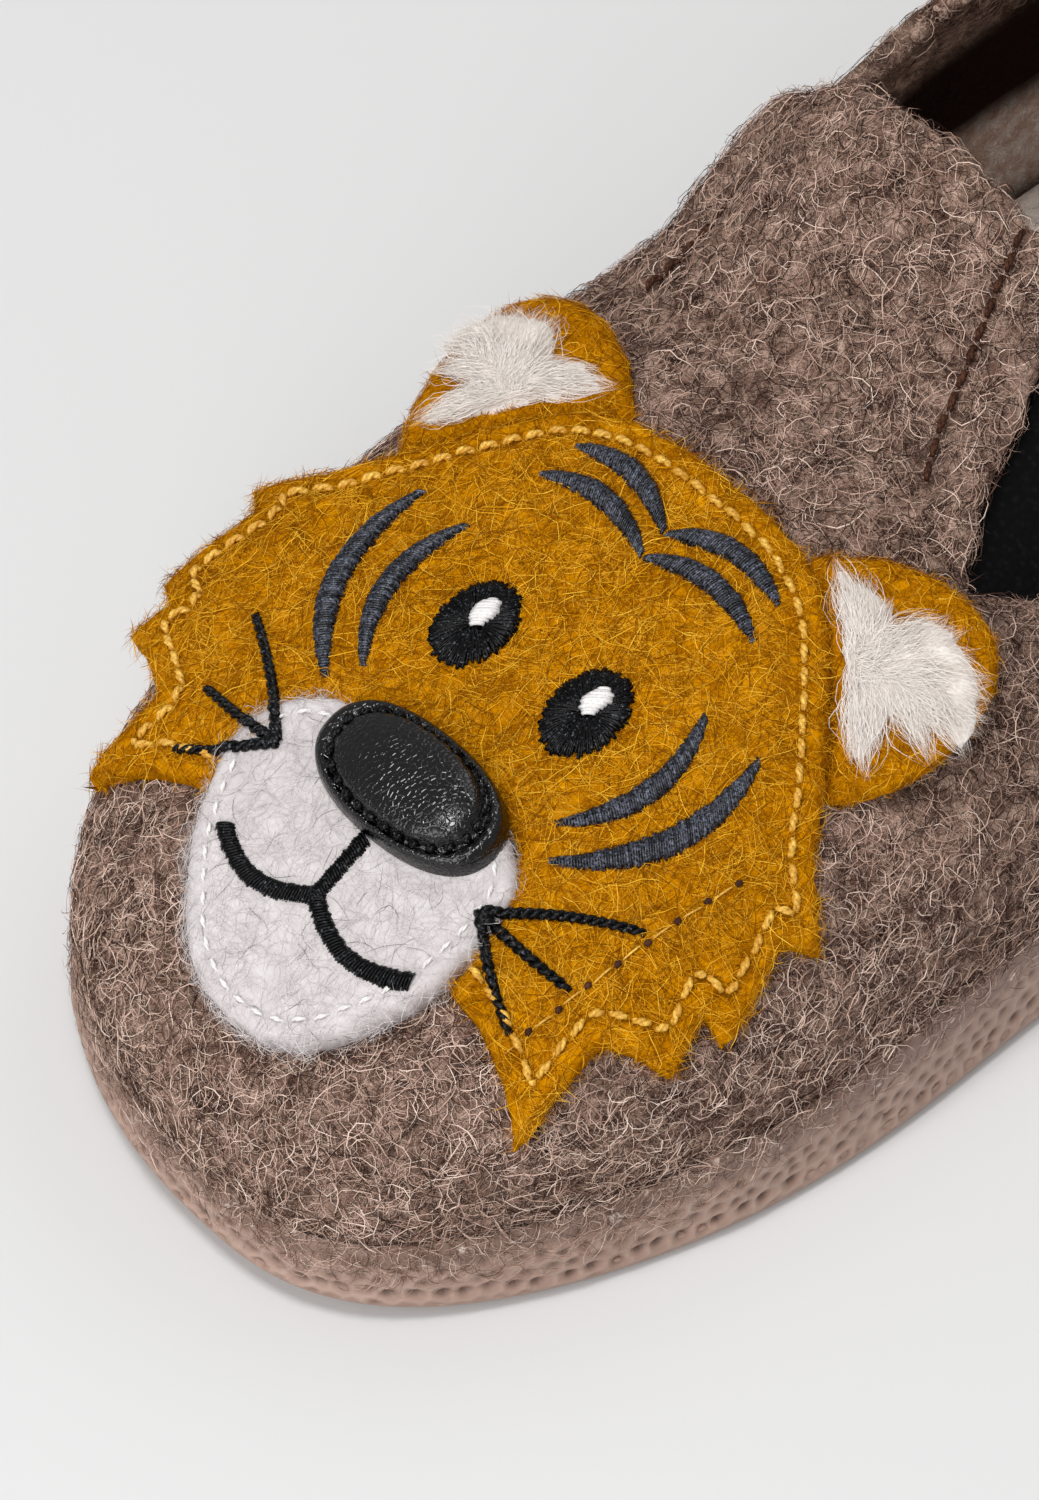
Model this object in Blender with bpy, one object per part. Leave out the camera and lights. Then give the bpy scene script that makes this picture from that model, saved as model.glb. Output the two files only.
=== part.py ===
"""Felt slip-on slipper with an animal face, one shoe of a child's pair.

The toe points to -Y, the heel to +Y, +X is the wearer's left and the floor is z = 0.
Lengths below are in millimetres. Along the shoe, s runs from the toe tip to the heel end.
"""

import math
from typing import NamedTuple

import bmesh
import bpy
import numpy as np
from mathutils import Vector

MM = 0.001

# Overall sizes
LENGTH = 196.0
GAP = 0.3
TOE_ROUND_LATERAL = 55.0
TOE_ROUND_MEDIAL = 65.0
TOE_POWER = 2.28
HEEL_ROUND = 34.0
HEEL_POWER = 2.25
CREST_ROUND = 46.0
CREST_POWER = 2.2

# Sole
FOOTBED = 5.5
TOE_SPRING = 2.5
TOE_SPRING_END = 30.0
ARCH_LIFT = 2.2
ARCH_START = 92.0
ARCH_END = 138.0
HEEL_SPRING = 0.8
HEEL_SPRING_START = 184.0
BAND_TOE = 9.5
BAND_SIDE = 13.0
BAND_RISE_END = 95.0
RIM_WALL = 1.2
INSOLE_THICKNESS = 4.0
INSOLE_EDGE = 0.8

# Upper
WALL = 3.0
FELT_INSET = 1.2
HEEL_LEAN = 4.0
HEEL_LEAN_START = 140.0
HEEL_LEAN_HEIGHT = 40.0
NOTCH = 83.0
THROAT = 109.0
ELASTIC = 1.2
ELASTIC_HEM = 5.0

# Face
EYE_LINE = 48.0
FELT_GAP = 0.4
HEAD_TOP = 2.6
MUZZLE_TOP = 3.2
THREAD = 0.8
NOSE_HEIGHT = 4.2
EAR_THICKNESS = 2.0
CELL = 5.0
FLARE = 3.0
FLARE_START = 25.0
FLARE_REACH = 13.0
FLARE_POWER = 1.2


class Section(NamedTuple):
    """One cross-section of the last, at a share of the length."""

    share: float
    axis: float
    lateral: float
    medial: float
    crest: float
    fullness: float
    swing: float


SECTIONS = [
    Section(share=0.00, axis=9.1, lateral=46.4, medial=34.4, crest=28.6, fullness=3.00, swing=-6.0),
    Section(share=0.12, axis=2.0, lateral=40.4, medial=40.7, crest=30.0, fullness=3.00, swing=-0.4),
    Section(share=0.22, axis=1.2, lateral=39.9, medial=41.5, crest=33.2, fullness=3.00, swing=-0.8),
    Section(share=0.36, axis=0.4, lateral=40.4, medial=42.0, crest=39.4, fullness=2.60, swing=-1.4),
    Section(share=0.48, axis=0.0, lateral=38.2, medial=42.0, crest=47.0, fullness=2.20, swing=-3.4),
    Section(share=0.56, axis=0.0, lateral=35.6, medial=39.4, crest=58.5, fullness=2.00, swing=-5.2),
    Section(share=0.63, axis=0.0, lateral=34.2, medial=36.2, crest=66.0, fullness=1.90, swing=-5.4),
    Section(share=0.74, axis=0.0, lateral=33.0, medial=32.8, crest=75.0, fullness=1.85, swing=-3.4),
    Section(share=0.86, axis=0.0, lateral=31.6, medial=31.5, crest=81.0, fullness=1.85, swing=-1.2),
    Section(share=1.00, axis=0.0, lateral=31.5, medial=31.5, crest=84.0, fullness=1.85, swing=0.0),
]


class Edge(NamedTuple):
    """One point along the cut edges of the upper: collar heights and half widths of the flap on each side."""

    s: float
    collar_lateral: float
    collar_medial: float
    flap_lateral: float
    flap_medial: float


EDGES = [
    Edge(s=83.0, collar_lateral=33.8, collar_medial=37.4, flap_lateral=30.8, flap_medial=25.4),
    Edge(s=87.0, collar_lateral=32.8, collar_medial=35.8, flap_lateral=30.2, flap_medial=22.0),
    Edge(s=91.0, collar_lateral=32.2, collar_medial=35.2, flap_lateral=29.6, flap_medial=20.0),
    Edge(s=96.0, collar_lateral=32.4, collar_medial=35.8, flap_lateral=29.0, flap_medial=18.8),
    Edge(s=102.0, collar_lateral=33.6, collar_medial=37.8, flap_lateral=28.2, flap_medial=17.4),
    Edge(s=109.0, collar_lateral=36.6, collar_medial=40.8, flap_lateral=27.2, flap_medial=16.4),
    Edge(s=115.0, collar_lateral=40.8, collar_medial=43.4, flap_lateral=27.2, flap_medial=16.4),
    Edge(s=122.0, collar_lateral=46.8, collar_medial=46.0, flap_lateral=27.2, flap_medial=16.4),
    Edge(s=130.0, collar_lateral=51.8, collar_medial=48.4, flap_lateral=27.2, flap_medial=16.4),
    Edge(s=140.0, collar_lateral=53.8, collar_medial=50.6, flap_lateral=27.2, flap_medial=16.4),
    Edge(s=165.0, collar_lateral=54.8, collar_medial=53.4, flap_lateral=27.2, flap_medial=16.4),
    Edge(s=196.0, collar_lateral=56.0, collar_medial=56.0, flap_lateral=27.2, flap_medial=16.4),
]


class Level(NamedTuple):
    """One level of the sole's side: inset from the plan outline and share of the band's height."""

    inset: float
    share: float


SOLE_SIDE = [
    Level(inset=2.2, share=0.00),
    Level(inset=0.6, share=0.04),
    Level(inset=0.0, share=0.13),
    Level(inset=0.3, share=0.23),
    Level(inset=1.1, share=0.27),
    Level(inset=0.5, share=0.38),
    Level(inset=1.0, share=0.50),
    Level(inset=0.6, share=0.61),
    Level(inset=1.1, share=0.72),
    Level(inset=1.2, share=1.00),
]


class Bar(NamedTuple):
    """One tread groove across the sole: its place along the shoe and its half length."""

    s: float
    half: float


TREAD = [
    Bar(s=34.0, half=25.0),
    Bar(s=46.0, half=30.0),
    Bar(s=58.0, half=32.0),
    Bar(s=70.0, half=32.0),
    Bar(s=82.0, half=31.0),
    Bar(s=146.0, half=21.0),
    Bar(s=157.0, half=20.0),
    Bar(s=168.0, half=18.0),
    Bar(s=179.0, half=13.0),
]
TREAD_WIDTH = 2.4
TREAD_DEPTH = 1.2

LATERAL = -1
MEDIAL = 1

SHARP_ANGLE = math.radians(40.0)
CUT_TOLERANCE = 1e-4


def smooth(value):
    """Ease from 0 to 1 as the value goes from 0 to 1."""
    value = np.clip(value, 0.0, 1.0)
    return value * value * (3.0 - 2.0 * value)


def curve_through(xs, ys, x):
    """Read a smooth curve that passes through the table's points."""
    xs = np.asarray(xs, float)
    ys = np.asarray(ys, float)
    slope = np.gradient(ys, xs)
    x = np.clip(x, xs[0], xs[-1])
    i = np.clip(np.searchsorted(xs, x, side="right") - 1, 0, len(xs) - 2)
    span = xs[i + 1] - xs[i]
    p = (x - xs[i]) / span
    start = ys[i] * (1 + 2 * p) * (1 - p) ** 2 + slope[i] * span * p * (1 - p) ** 2
    end = ys[i + 1] * p * p * (3 - 2 * p) + slope[i + 1] * span * p * p * (p - 1)
    return start + end


def section(column, s):
    """Read one column of the sections at a place along the shoe."""
    shares = [row.share for row in SECTIONS]
    values = [getattr(row, column) for row in SECTIONS]
    return curve_through(shares, values, np.asarray(s, float) / LENGTH)


def edge(column, s):
    """Read one column of the cut edges at a place along the shoe."""
    return curve_through([row.s for row in EDGES], [getattr(row, column) for row in EDGES], s)


def rounding(distance, reach, power):
    """Share of the full width at a distance from a rounded end."""
    t = np.clip(1.0 - distance / reach, 0.0, 1.0)
    return np.maximum(1.0 - t ** power, 0.0) ** (1.0 / power)


def half_width(s, side, inset):
    """Half width of the plan outline, pulled in by the inset."""
    full = section("medial" if side == MEDIAL else "lateral", s) - inset
    toe = rounding(s - inset, TOE_ROUND_MEDIAL if side == MEDIAL else TOE_ROUND_LATERAL, TOE_POWER)
    heel = rounding(LENGTH - inset - s, HEEL_ROUND, HEEL_POWER)
    return full * toe * heel


def toe_spring(s):
    """Rise of the sole at the toe."""
    return TOE_SPRING * np.clip(1.0 - np.asarray(s, float) / TOE_SPRING_END, 0.0, 1.0) ** 2


def underside(s):
    """Height of the sole's underside: toe spring, arch and the rounded heel."""
    across = np.clip((np.asarray(s, float) - ARCH_START) / (ARCH_END - ARCH_START), 0.0, 1.0)
    heel = np.clip((s - HEEL_SPRING_START) / (LENGTH - HEEL_SPRING_START), 0.0, 1.0)
    return toe_spring(s) + ARCH_LIFT * np.sin(math.pi * across) ** 2 + HEEL_SPRING * heel ** 2


def footbed(s):
    """Height of the sole's upper face, under the insole."""
    return FOOTBED + toe_spring(s)


def band_top(s):
    """Height at which the sole's side band meets the felt."""
    return BAND_TOE + (BAND_SIDE - BAND_TOE) * smooth(np.asarray(s, float) / BAND_RISE_END)


def crest(s, inset):
    """Height of the middle of the upper."""
    base = band_top(s)
    full = section("crest", s) - inset - base
    return base + full * rounding(s - FELT_INSET - inset, CREST_ROUND, CREST_POWER)


def arch(s, turn, inset=0.0):
    """Point of the upper: turn is -1 at the lateral feather line, 0 at the crest, 1 at the medial one."""
    s, turn = np.broadcast_arrays(np.asarray(s, float), np.asarray(turn, float))
    angle = np.abs(turn) * math.pi / 2
    lateral = half_width(s, LATERAL, FELT_INSET + inset)
    medial = half_width(s, MEDIAL, FELT_INSET + inset)
    power = 2.0 / section("fullness", s)
    base = band_top(s)
    x = np.sign(turn) * np.where(turn < 0, lateral, medial) * np.sin(angle) ** power
    share = np.maximum(np.cos(angle), 0.0) ** power
    rise = (crest(s, inset) - base) * share
    swing = section("swing", s) * share
    lean = HEEL_LEAN * smooth((s - HEEL_LEAN_START) / (LENGTH - HEEL_LEAN_START))
    y = s - lean * np.clip(rise / HEEL_LEAN_HEIGHT, 0.0, None) ** 2
    return np.stack([section("axis", s) + x + swing, y, base + rise], axis=-1)


ARCH_STEPS = 81


def arch_lengths(s, side, inset=0.0):
    """Turns of one side of an arch and their distances from the crest, along the felt."""
    ease = np.linspace(0.0, 1.0, ARCH_STEPS)
    turns = side * (ease - np.sin(2 * math.pi * ease) / (2 * math.pi))
    points = arch(s, turns, inset)
    steps = np.linalg.norm(np.diff(points, axis=0), axis=1)
    return turns, np.concatenate([[0.0], np.cumsum(steps)])


def turn_at(s, across, inset=0.0):
    """Turn of the arch at a distance across from the crest, minus on the lateral side."""
    turns, lengths = arch_lengths(s, MEDIAL if across >= 0 else LATERAL, inset)
    return float(np.interp(abs(across), lengths, turns))


def collar_turn(s, side, inset=0.0):
    """Turn of the arch at the height of the collar."""
    base = float(band_top(s))
    height = float(edge("collar_medial" if side == MEDIAL else "collar_lateral", s))
    share = (height - base) / (float(crest(s, inset)) - base)
    bend = float(section("fullness", s)) / 2.0
    return side * math.acos(min(share, 1.0) ** bend) / (math.pi / 2)


def frame_point(x, s, z):
    """Place a point of the shoe in the part's frame, in metres."""
    return ((x - MIDDLE) * MM, (s - LENGTH / 2) * MM, z * MM)


def outline_middle():
    """Sideways middle of the sole, which the part's origin lies under."""
    s = np.linspace(1.0, LENGTH - 1.0, 400)
    right = np.max(section("axis", s) + half_width(s, MEDIAL, 0.0))
    left = np.min(section("axis", s) - half_width(s, LATERAL, 0.0))
    return (right + left) / 2


MIDDLE = float(outline_middle())


def clear_scene():
    """Remove every object of the start file."""
    for obj in list(bpy.data.objects):
        bpy.data.objects.remove(obj, do_unlink=True)


def finish(name, colour, roughness):
    """Make the plain surface of one piece."""
    material = bpy.data.materials.new(name)
    material.use_nodes = True
    shader = material.node_tree.nodes["Principled BSDF"]
    shader.inputs["Base Color"].default_value = (*colour, 1.0)
    shader.inputs["Roughness"].default_value = roughness
    shader.inputs["Metallic"].default_value = 0.0
    return material


def add_object(name, mesh_data, material):
    """Turn a bmesh into a named object with its material and outward faces."""
    bmesh.ops.recalc_face_normals(mesh_data, faces=mesh_data.faces[:])
    mesh = bpy.data.meshes.new(name)
    mesh_data.to_mesh(mesh)
    mesh_data.free()
    mesh.materials.append(material)
    mesh.shade_smooth()
    mesh.set_sharp_from_angle(angle=SHARP_ANGLE)
    obj = bpy.data.objects.new(name, mesh)
    bpy.context.scene.collection.objects.link(obj)
    return obj


SOLE_STATIONS = 34


def sole_loop(mesh_data, inset, height):
    """Add a ring of points round the plan outline and return it as toe, medial, heel and lateral points."""
    turns = np.linspace(0.0, math.pi, SOLE_STATIONS + 1)
    s = inset + (LENGTH - 2 * inset) * (1.0 - np.cos(turns)) / 2
    axis = section("axis", s)
    z = height(s)
    medial = axis + half_width(s, MEDIAL, inset)
    lateral = axis - half_width(s, LATERAL, inset)
    there = range(1, SOLE_STATIONS)
    ring = [frame_point(axis[0], s[0], z[0])]
    ring += [frame_point(medial[k], s[k], z[k]) for k in there]
    ring.append(frame_point(axis[-1], s[-1], z[-1]))
    ring += [frame_point(lateral[k], s[k], z[k]) for k in reversed(there)]
    return [mesh_data.verts.new(point) for point in ring]


def join_rings(mesh_data, lower, upper):
    """Fill the wall between two rings."""
    count = len(lower)
    for k in range(count):
        after = (k + 1) % count
        mesh_data.faces.new((lower[k], lower[after], upper[after], upper[k]))


def cap_ring(mesh_data, ring):
    """Fill a ring with strips from side to side."""
    count = len(ring)
    mesh_data.faces.new((ring[0], ring[1], ring[-1]))
    for k in range(1, count // 2 - 1):
        mesh_data.faces.new((ring[k], ring[k + 1], ring[count - k - 1], ring[count - k]))
    half = count // 2
    mesh_data.faces.new((ring[half - 1], ring[half], ring[half + 1]))


def stack_rings(name, levels, material):
    """Build a closed solid from rings of the plan outline, from the lowest to the last."""
    mesh_data = bmesh.new()
    rings = [sole_loop(mesh_data, inset, height) for inset, height in levels]
    for lower, upper in zip(rings, rings[1:]):
        join_rings(mesh_data, lower, upper)
    cap_ring(mesh_data, rings[0])
    cap_ring(mesh_data, rings[-1])
    return add_object(name, mesh_data, material)


def side_height(share):
    """Height round the sole at a share of its side band."""

    def height(s):
        low = underside(s)
        return low + share * (band_top(s) - GAP - low)

    return height


def tread_cutter():
    """Bars that are cut from the underside, kept in one hidden object."""
    mesh_data = bmesh.new()
    for bar in TREAD:
        x, y, z = frame_point(float(section("axis", bar.s)), bar.s, 0.0)
        made = bmesh.ops.create_cube(mesh_data, size=1.0)["verts"]
        scale = Vector((2 * bar.half, TREAD_WIDTH, 2 * TREAD_DEPTH)) * MM
        bmesh.ops.scale(mesh_data, verts=made, vec=scale)
        bmesh.ops.translate(mesh_data, verts=made, vec=(x, y, z))
    cutter = add_object("tread_cutter", mesh_data, finish("cutter", (0.5, 0.5, 0.5), 0.5))
    cutter.hide_render = True
    cutter.display_type = "WIRE"
    return cutter


def build_outsole():
    """Cup sole with its lip, ribbed side band, rim and tread bars."""
    levels = [(level.inset, side_height(level.share)) for level in SOLE_SIDE]
    rim = SOLE_SIDE[-1].inset + RIM_WALL
    levels.append((rim, side_height(1.0)))
    levels.append((rim, footbed))
    outsole = stack_rings("outsole", levels, finish("latex", (0.27, 0.19, 0.15), 0.45))
    cut = outsole.modifiers.new("tread", "BOOLEAN")
    cut.operation = "DIFFERENCE"
    cut.object = tread_cutter()


def build_insole():
    """Felt footbed that fills the bottom of the upper."""
    inset = FELT_INSET + WALL + GAP + INSOLE_EDGE / 2
    levels = [
        (inset, lambda s: footbed(s) + GAP),
        (inset, lambda s: footbed(s) + GAP + INSOLE_THICKNESS - INSOLE_EDGE),
        (inset + INSOLE_EDGE, lambda s: footbed(s) + GAP + INSOLE_THICKNESS),
    ]
    stack_rings("insole", levels, finish("footbed_felt", (0.50, 0.44, 0.39), 0.9))


TOE_STATIONS = 22
FLAP_STATIONS = 8
HEEL_STATIONS = 17
END_BUNCHING = 1.8
FLAP_BUNCHING = 1.35
END_MARGIN = 0.15
QUARTER_COLUMNS = 9
FLAP_COLUMNS = 5
SKIRT_COLUMNS = 2
SHIFT_REACH = 60.0


def upper_stations():
    """Places of the upper's ribs along the shoe, closer together at the toe and the heel."""
    start = FELT_INSET + END_MARGIN
    end = LENGTH - start
    toe = start + (NOTCH - start) * np.linspace(0.0, 1.0, TOE_STATIONS) ** END_BUNCHING
    flap = NOTCH + (THROAT - NOTCH) * np.linspace(0.0, 1.0, FLAP_STATIONS)[1:] ** FLAP_BUNCHING
    heel = end - (end - THROAT) * np.linspace(1.0, 0.0, HEEL_STATIONS)[1:] ** END_BUNCHING
    return np.concatenate([toe, flap, heel])


def pulled_in(s, inset):
    """Place along the shoe of an inner rib: the toe and the heel end come in by the inset."""
    toe = np.clip(1.0 - (s - FELT_INSET - END_MARGIN) / SHIFT_REACH, 0.0, 1.0) ** 2
    heel = np.clip(1.0 - (LENGTH - FELT_INSET - END_MARGIN - s) / SHIFT_REACH, 0.0, 1.0) ** 2
    return s + inset * (toe - heel)


def edge_distances(s, side, inset):
    """Distances across, from the crest, of the flap's edge and of the quarter's edge."""
    at = max(s, NOTCH)
    turns, lengths = arch_lengths(at, side, inset)
    quarter = float(np.interp(abs(collar_turn(at, side, inset)), np.abs(turns), lengths))
    flap = float(edge("flap_medial" if side == MEDIAL else "flap_lateral", at))
    scale = arch_lengths(s, side, inset)[1][-1] / lengths[-1] if s < NOTCH else 1.0
    return flap * scale, quarter * scale


def side_turns(s, side, inset):
    """Turns of the columns of one side, from the crest to the feather line."""
    turns, lengths = arch_lengths(s, side, inset)
    flap, quarter = edge_distances(s, side, inset)
    across = np.concatenate([
        np.linspace(0.0, flap, FLAP_COLUMNS + 1),
        np.linspace(quarter, lengths[-1], QUARTER_COLUMNS + 1),
    ])
    return np.interp(across, lengths, turns)


def skirt_point(s, side, inset, height):
    """Point of the felt that goes down inside the sole's rim."""
    place = pulled_in(s, inset - FELT_INSET)
    x = float(section("axis", place)) + side * float(half_width(place, side, inset))
    return (x, place, height)


def upper_rib(s, inset, skirt_inset):
    """One rib of the upper's outer or inner face, from the lateral skirt over the crest to the medial one."""
    place = float(pulled_in(s, inset))
    lateral = arch(place, side_turns(place, LATERAL, inset), inset)
    medial = arch(place, side_turns(place, MEDIAL, inset), inset)
    top = float(band_top(place))
    bottom = float(footbed(s)) + GAP
    skirts = []
    for side in (LATERAL, MEDIAL):
        skirts.append([skirt_point(s, side, skirt_inset, bottom), skirt_point(s, side, skirt_inset, top)])
    rib = skirts[0] + [tuple(p) for p in lateral[::-1]] + [tuple(p) for p in medial[1:]] + skirts[1][::-1]
    return rib


def upper_cells(count, columns):
    """Yield the cells of the felt, as station and column, leaving out the gussets and the collar."""
    lateral_notch = SKIRT_COLUMNS + QUARTER_COLUMNS
    medial_notch = columns - 2 - lateral_notch
    for k in range(count - 1):
        behind_notch = k >= TOE_STATIONS - 1
        behind_throat = k >= TOE_STATIONS + FLAP_STATIONS - 2
        for c in range(columns - 1):
            if behind_notch and c in (lateral_notch, medial_notch):
                continue
            if behind_throat and lateral_notch <= c <= medial_notch:
                continue
            yield k, c


def build_upper():
    """Felt shell with its wall: vamp, flap and quarters in one, open at the collar and below."""
    stations = upper_stations()
    faces = []
    skins = []
    for inset, skirt_inset in ((0.0, FELT_INSET + RIM_WALL + GAP), (WALL, FELT_INSET + WALL)):
        skins.append([upper_rib(float(s), inset, skirt_inset) for s in stations])
    count = len(stations)
    columns = len(skins[0][0])
    for k, c in upper_cells(count, columns):
        faces.append([(k, c), (k, c + 1), (k + 1, c + 1), (k + 1, c)])
    rows = SKIRT_COLUMNS + QUARTER_COLUMNS
    last = count - 1
    faces.append([(0, c) for c in range(SKIRT_COLUMNS, columns - SKIRT_COLUMNS)])
    for c in range(SKIRT_COLUMNS):
        faces.append([(0, c), (0, c + 1), (0, columns - 2 - c), (0, columns - 1 - c)])
    for c in range(rows):
        faces.append([(last, c), (last, c + 1), (last, columns - 2 - c), (last, columns - 1 - c)])
    mesh_data = bmesh.new()
    made = [{}, {}]
    for skin, points in enumerate(skins):
        for key in {key for face in faces for key in face}:
            made[skin][key] = mesh_data.verts.new(frame_point(*points[key[0]][key[1]]))
        for face in faces:
            mesh_data.faces.new([made[skin][key] for key in face])
    inner_of = {made[0][key]: made[1][key] for key in made[0]}
    rim = [e for e in mesh_data.edges if len(e.link_faces) == 1 and e.verts[0] in inner_of]
    for e in rim:
        first, second = e.verts
        mesh_data.faces.new((first, second, inner_of[second], inner_of[first]))
    add_object("upper", mesh_data, finish("boiled_wool", (0.16, 0.12, 0.10), 0.95))


GUSSET_STATIONS = 9
GUSSET_COLUMNS = 7
GUSSET_GAP = 0.5


def build_gusset(name, side, material):
    """Elastic panel behind the notch, from under the flap to under the quarter."""
    mesh_data = bmesh.new()
    layers = []
    for inset in (WALL + GUSSET_GAP, WALL + GUSSET_GAP + ELASTIC):
        layer = []
        for s in np.linspace(NOTCH - ELASTIC_HEM, THROAT - GUSSET_GAP, GUSSET_STATIONS):
            turns, lengths = arch_lengths(s, side, inset)
            flap, quarter = edge_distances(max(s, NOTCH), side, inset)
            across = np.linspace(flap - ELASTIC_HEM, quarter + ELASTIC_HEM, GUSSET_COLUMNS)
            points = arch(s, np.interp(across, lengths, turns), inset)
            layer.append([mesh_data.verts.new(frame_point(*p)) for p in points])
        layers.append(layer)
    for layer in layers:
        for k in range(GUSSET_STATIONS - 1):
            for c in range(GUSSET_COLUMNS - 1):
                mesh_data.faces.new((layer[k][c], layer[k][c + 1], layer[k + 1][c + 1], layer[k + 1][c]))
    partner = {}
    for k in range(GUSSET_STATIONS):
        for c in range(GUSSET_COLUMNS):
            partner[layers[0][k][c]] = layers[1][k][c]
    for e in [e for e in mesh_data.edges if len(e.link_faces) == 1 and e.verts[0] in partner]:
        first, second = e.verts
        mesh_data.faces.new((first, second, partner[second], partner[first]))
    add_object(name, mesh_data, material)


CREST_STEPS = 400
TANGENT_STEP = 0.5


def crest_lengths():
    """Places along the shoe and their distances along the crest from the line of the eyes."""
    s = np.linspace(FELT_INSET + END_MARGIN, THROAT, CREST_STEPS)
    points = arch(s, 0.0)
    steps = np.linalg.norm(np.diff(points, axis=0), axis=1)
    lengths = np.concatenate([[0.0], np.cumsum(steps)])
    return s, lengths - np.interp(EYE_LINE, s, lengths)


CREST_PLACES, CREST_DISTANCES = crest_lengths()


def felt_surface(across, up):
    """Point of the felt at a distance across from the crest and up from the line of the eyes."""
    s = float(np.interp(up, CREST_DISTANCES, CREST_PLACES))
    return arch(s, turn_at(s, across))


def felt_frame(across, up):
    """Point of the felt with its directions across, up and out."""
    point = felt_surface(across, up)
    over = felt_surface(across + TANGENT_STEP, up) - felt_surface(across - TANGENT_STEP, up)
    along = felt_surface(across, up + TANGENT_STEP) - felt_surface(across, up - TANGENT_STEP)
    over = over / np.linalg.norm(over)
    out = np.cross(over, along)
    out = out / np.linalg.norm(out)
    return point, over, np.cross(out, over), out


def on_felt(across, up, lift):
    """Point above the felt, in the part's frame."""
    point, _, _, out = felt_frame(across, up)
    return frame_point(*(point + out * lift))


def stand_off(across):
    """How far the mask's lateral edge stands off the felt, as a share of the whole."""
    return min(max((LATERAL * across - FLARE_START) / FLARE_REACH, 0.0), 1.0) ** FLARE_POWER


def build_patch(name, outline, low, high, material, flare=0.0):
    """Flat piece laid on the felt, cut to an outline in across and up, between two lifts."""
    flat = bmesh.new()
    flat.faces.new([flat.verts.new((across, up, 0.0)) for across, up in outline])
    for axis in (0, 1):
        values = [point[axis] for point in outline]
        normal = (1.0, 0.0, 0.0) if axis == 0 else (0.0, 1.0, 0.0)
        for step in range(math.ceil(min(values) / CELL), math.floor(max(values) / CELL) + 1):
            place = tuple(step * CELL * n for n in normal)
            geometry = flat.verts[:] + flat.edges[:] + flat.faces[:]
            bmesh.ops.bisect_plane(flat, geom=geometry, dist=CUT_TOLERANCE, plane_co=place, plane_no=normal)
    mesh_data = bmesh.new()
    made = {}
    for vert in flat.verts:
        across, up, _ = vert.co
        off = flare * stand_off(across)
        bottom = mesh_data.verts.new(on_felt(across, up, low(up) + off))
        made[vert] = (bottom, mesh_data.verts.new(on_felt(across, up, high(up) + off)))
    for face in flat.faces:
        mesh_data.faces.new([made[v][0] for v in face.verts])
        mesh_data.faces.new([made[v][1] for v in face.verts])
    for e in flat.edges:
        if len(e.link_faces) == 1:
            first, second = e.verts
            mesh_data.faces.new((made[first][0], made[second][0], made[second][1], made[first][1]))
    flat.free()
    add_object(name, mesh_data, material)


def even_lift(value):
    """A lift that is the same all over."""
    return lambda up: value


def mirrored(half):
    """Close an outline from its medial half, listed from the top middle to the bottom middle."""
    return [(a, u) for a, u in half] + [(-a, u) for a, u in reversed(half) if a > 0.0]


HEAD_HALF = [
    (0.0, 27.6), (5.0, 27.5), (10.5, 26.9), (14.5, 25.4), (18.5, 22.6), (23.0, 17.6), (28.0, 11.4),
    (31.5, 6.6), (38.0, 1.6), (34.9, -0.8), (36.4, -5.6), (37.8, -10.7), (34.7, -12.3), (36.8, -16.2),
    (33.2, -17.9), (28.4, -21.3), (28.9, -26.0), (29.4, -31.0), (24.6, -28.6), (19.6, -27.0), (15.2, -26.5),
]
MUZZLE_HALF = [
    (0.0, -11.4), (6.0, -11.5), (10.6, -12.8), (13.2, -16.2), (14.5, -21.0), (14.7, -26.0), (13.9, -31.0),
    (11.5, -35.8), (7.8, -39.4), (4.0, -41.2), (0.0, -41.8),
]
MUZZLE_SEAM = 0.4
MUZZLE_ROUND = 8.0
HEAD_FOOT = -26.0


def build_head(material):
    """Mask of the face, cut out round the muzzle."""
    around = []
    for a, u in MUZZLE_HALF:
        if u > HEAD_FOOT:
            around.append((a + MUZZLE_SEAM * a / math.hypot(a, MUZZLE_ROUND), u + MUZZLE_SEAM))
    side = HEAD_HALF + list(reversed(around[1:]))
    outline = side + [around[0]] + [(-a, u) for a, u in reversed(side) if a > 0.0]
    build_patch("head", outline, even_lift(FELT_GAP), even_lift(HEAD_TOP), material, FLARE)


class Stripe(NamedTuple):
    """One satin-stitched stripe, medial side: its ends, its bow to one side and its widest place."""

    name: str
    start: tuple
    end: tuple
    bow: float
    width: float


STRIPES = [
    Stripe("cheek_inner", start=(15.2, 6.4), end=(12.6, -9.0), bow=2.9, width=2.4),
    Stripe("cheek_outer", start=(21.4, 6.8), end=(14.6, -12.0), bow=3.5, width=3.0),
    Stripe("brow_upper", start=(12.3, 21.0), end=(0.6, 18.3), bow=-2.2, width=2.9),
    Stripe("brow_lower", start=(13.3, 15.7), end=(0.7, 15.1), bow=-2.2, width=2.9),
]
STRIPE_STEPS = 9
STRIPE_TAPER = 0.75
TIP_SHARE = 0.12


def stripe_outline(stripe, side):
    """Outline of a crescent, along one edge and back along the other."""
    start = np.array(stripe.start)
    end = np.array(stripe.end)
    chord = end - start
    aside = np.array([-chord[1], chord[0]]) / np.linalg.norm(chord)
    edges = [[], []]
    for p in np.linspace(0.0, 1.0, STRIPE_STEPS):
        middle = start + chord * p + aside * stripe.bow * 4.0 * p * (1.0 - p)
        half = stripe.width / 2 * max(math.sin(math.pi * p) ** STRIPE_TAPER, TIP_SHARE)
        edges[0].append(middle + aside * half)
        edges[1].append(middle - aside * half)
    outline = edges[0] + edges[1][::-1]
    return [(side * float(a), float(u)) for a, u in outline]


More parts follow.
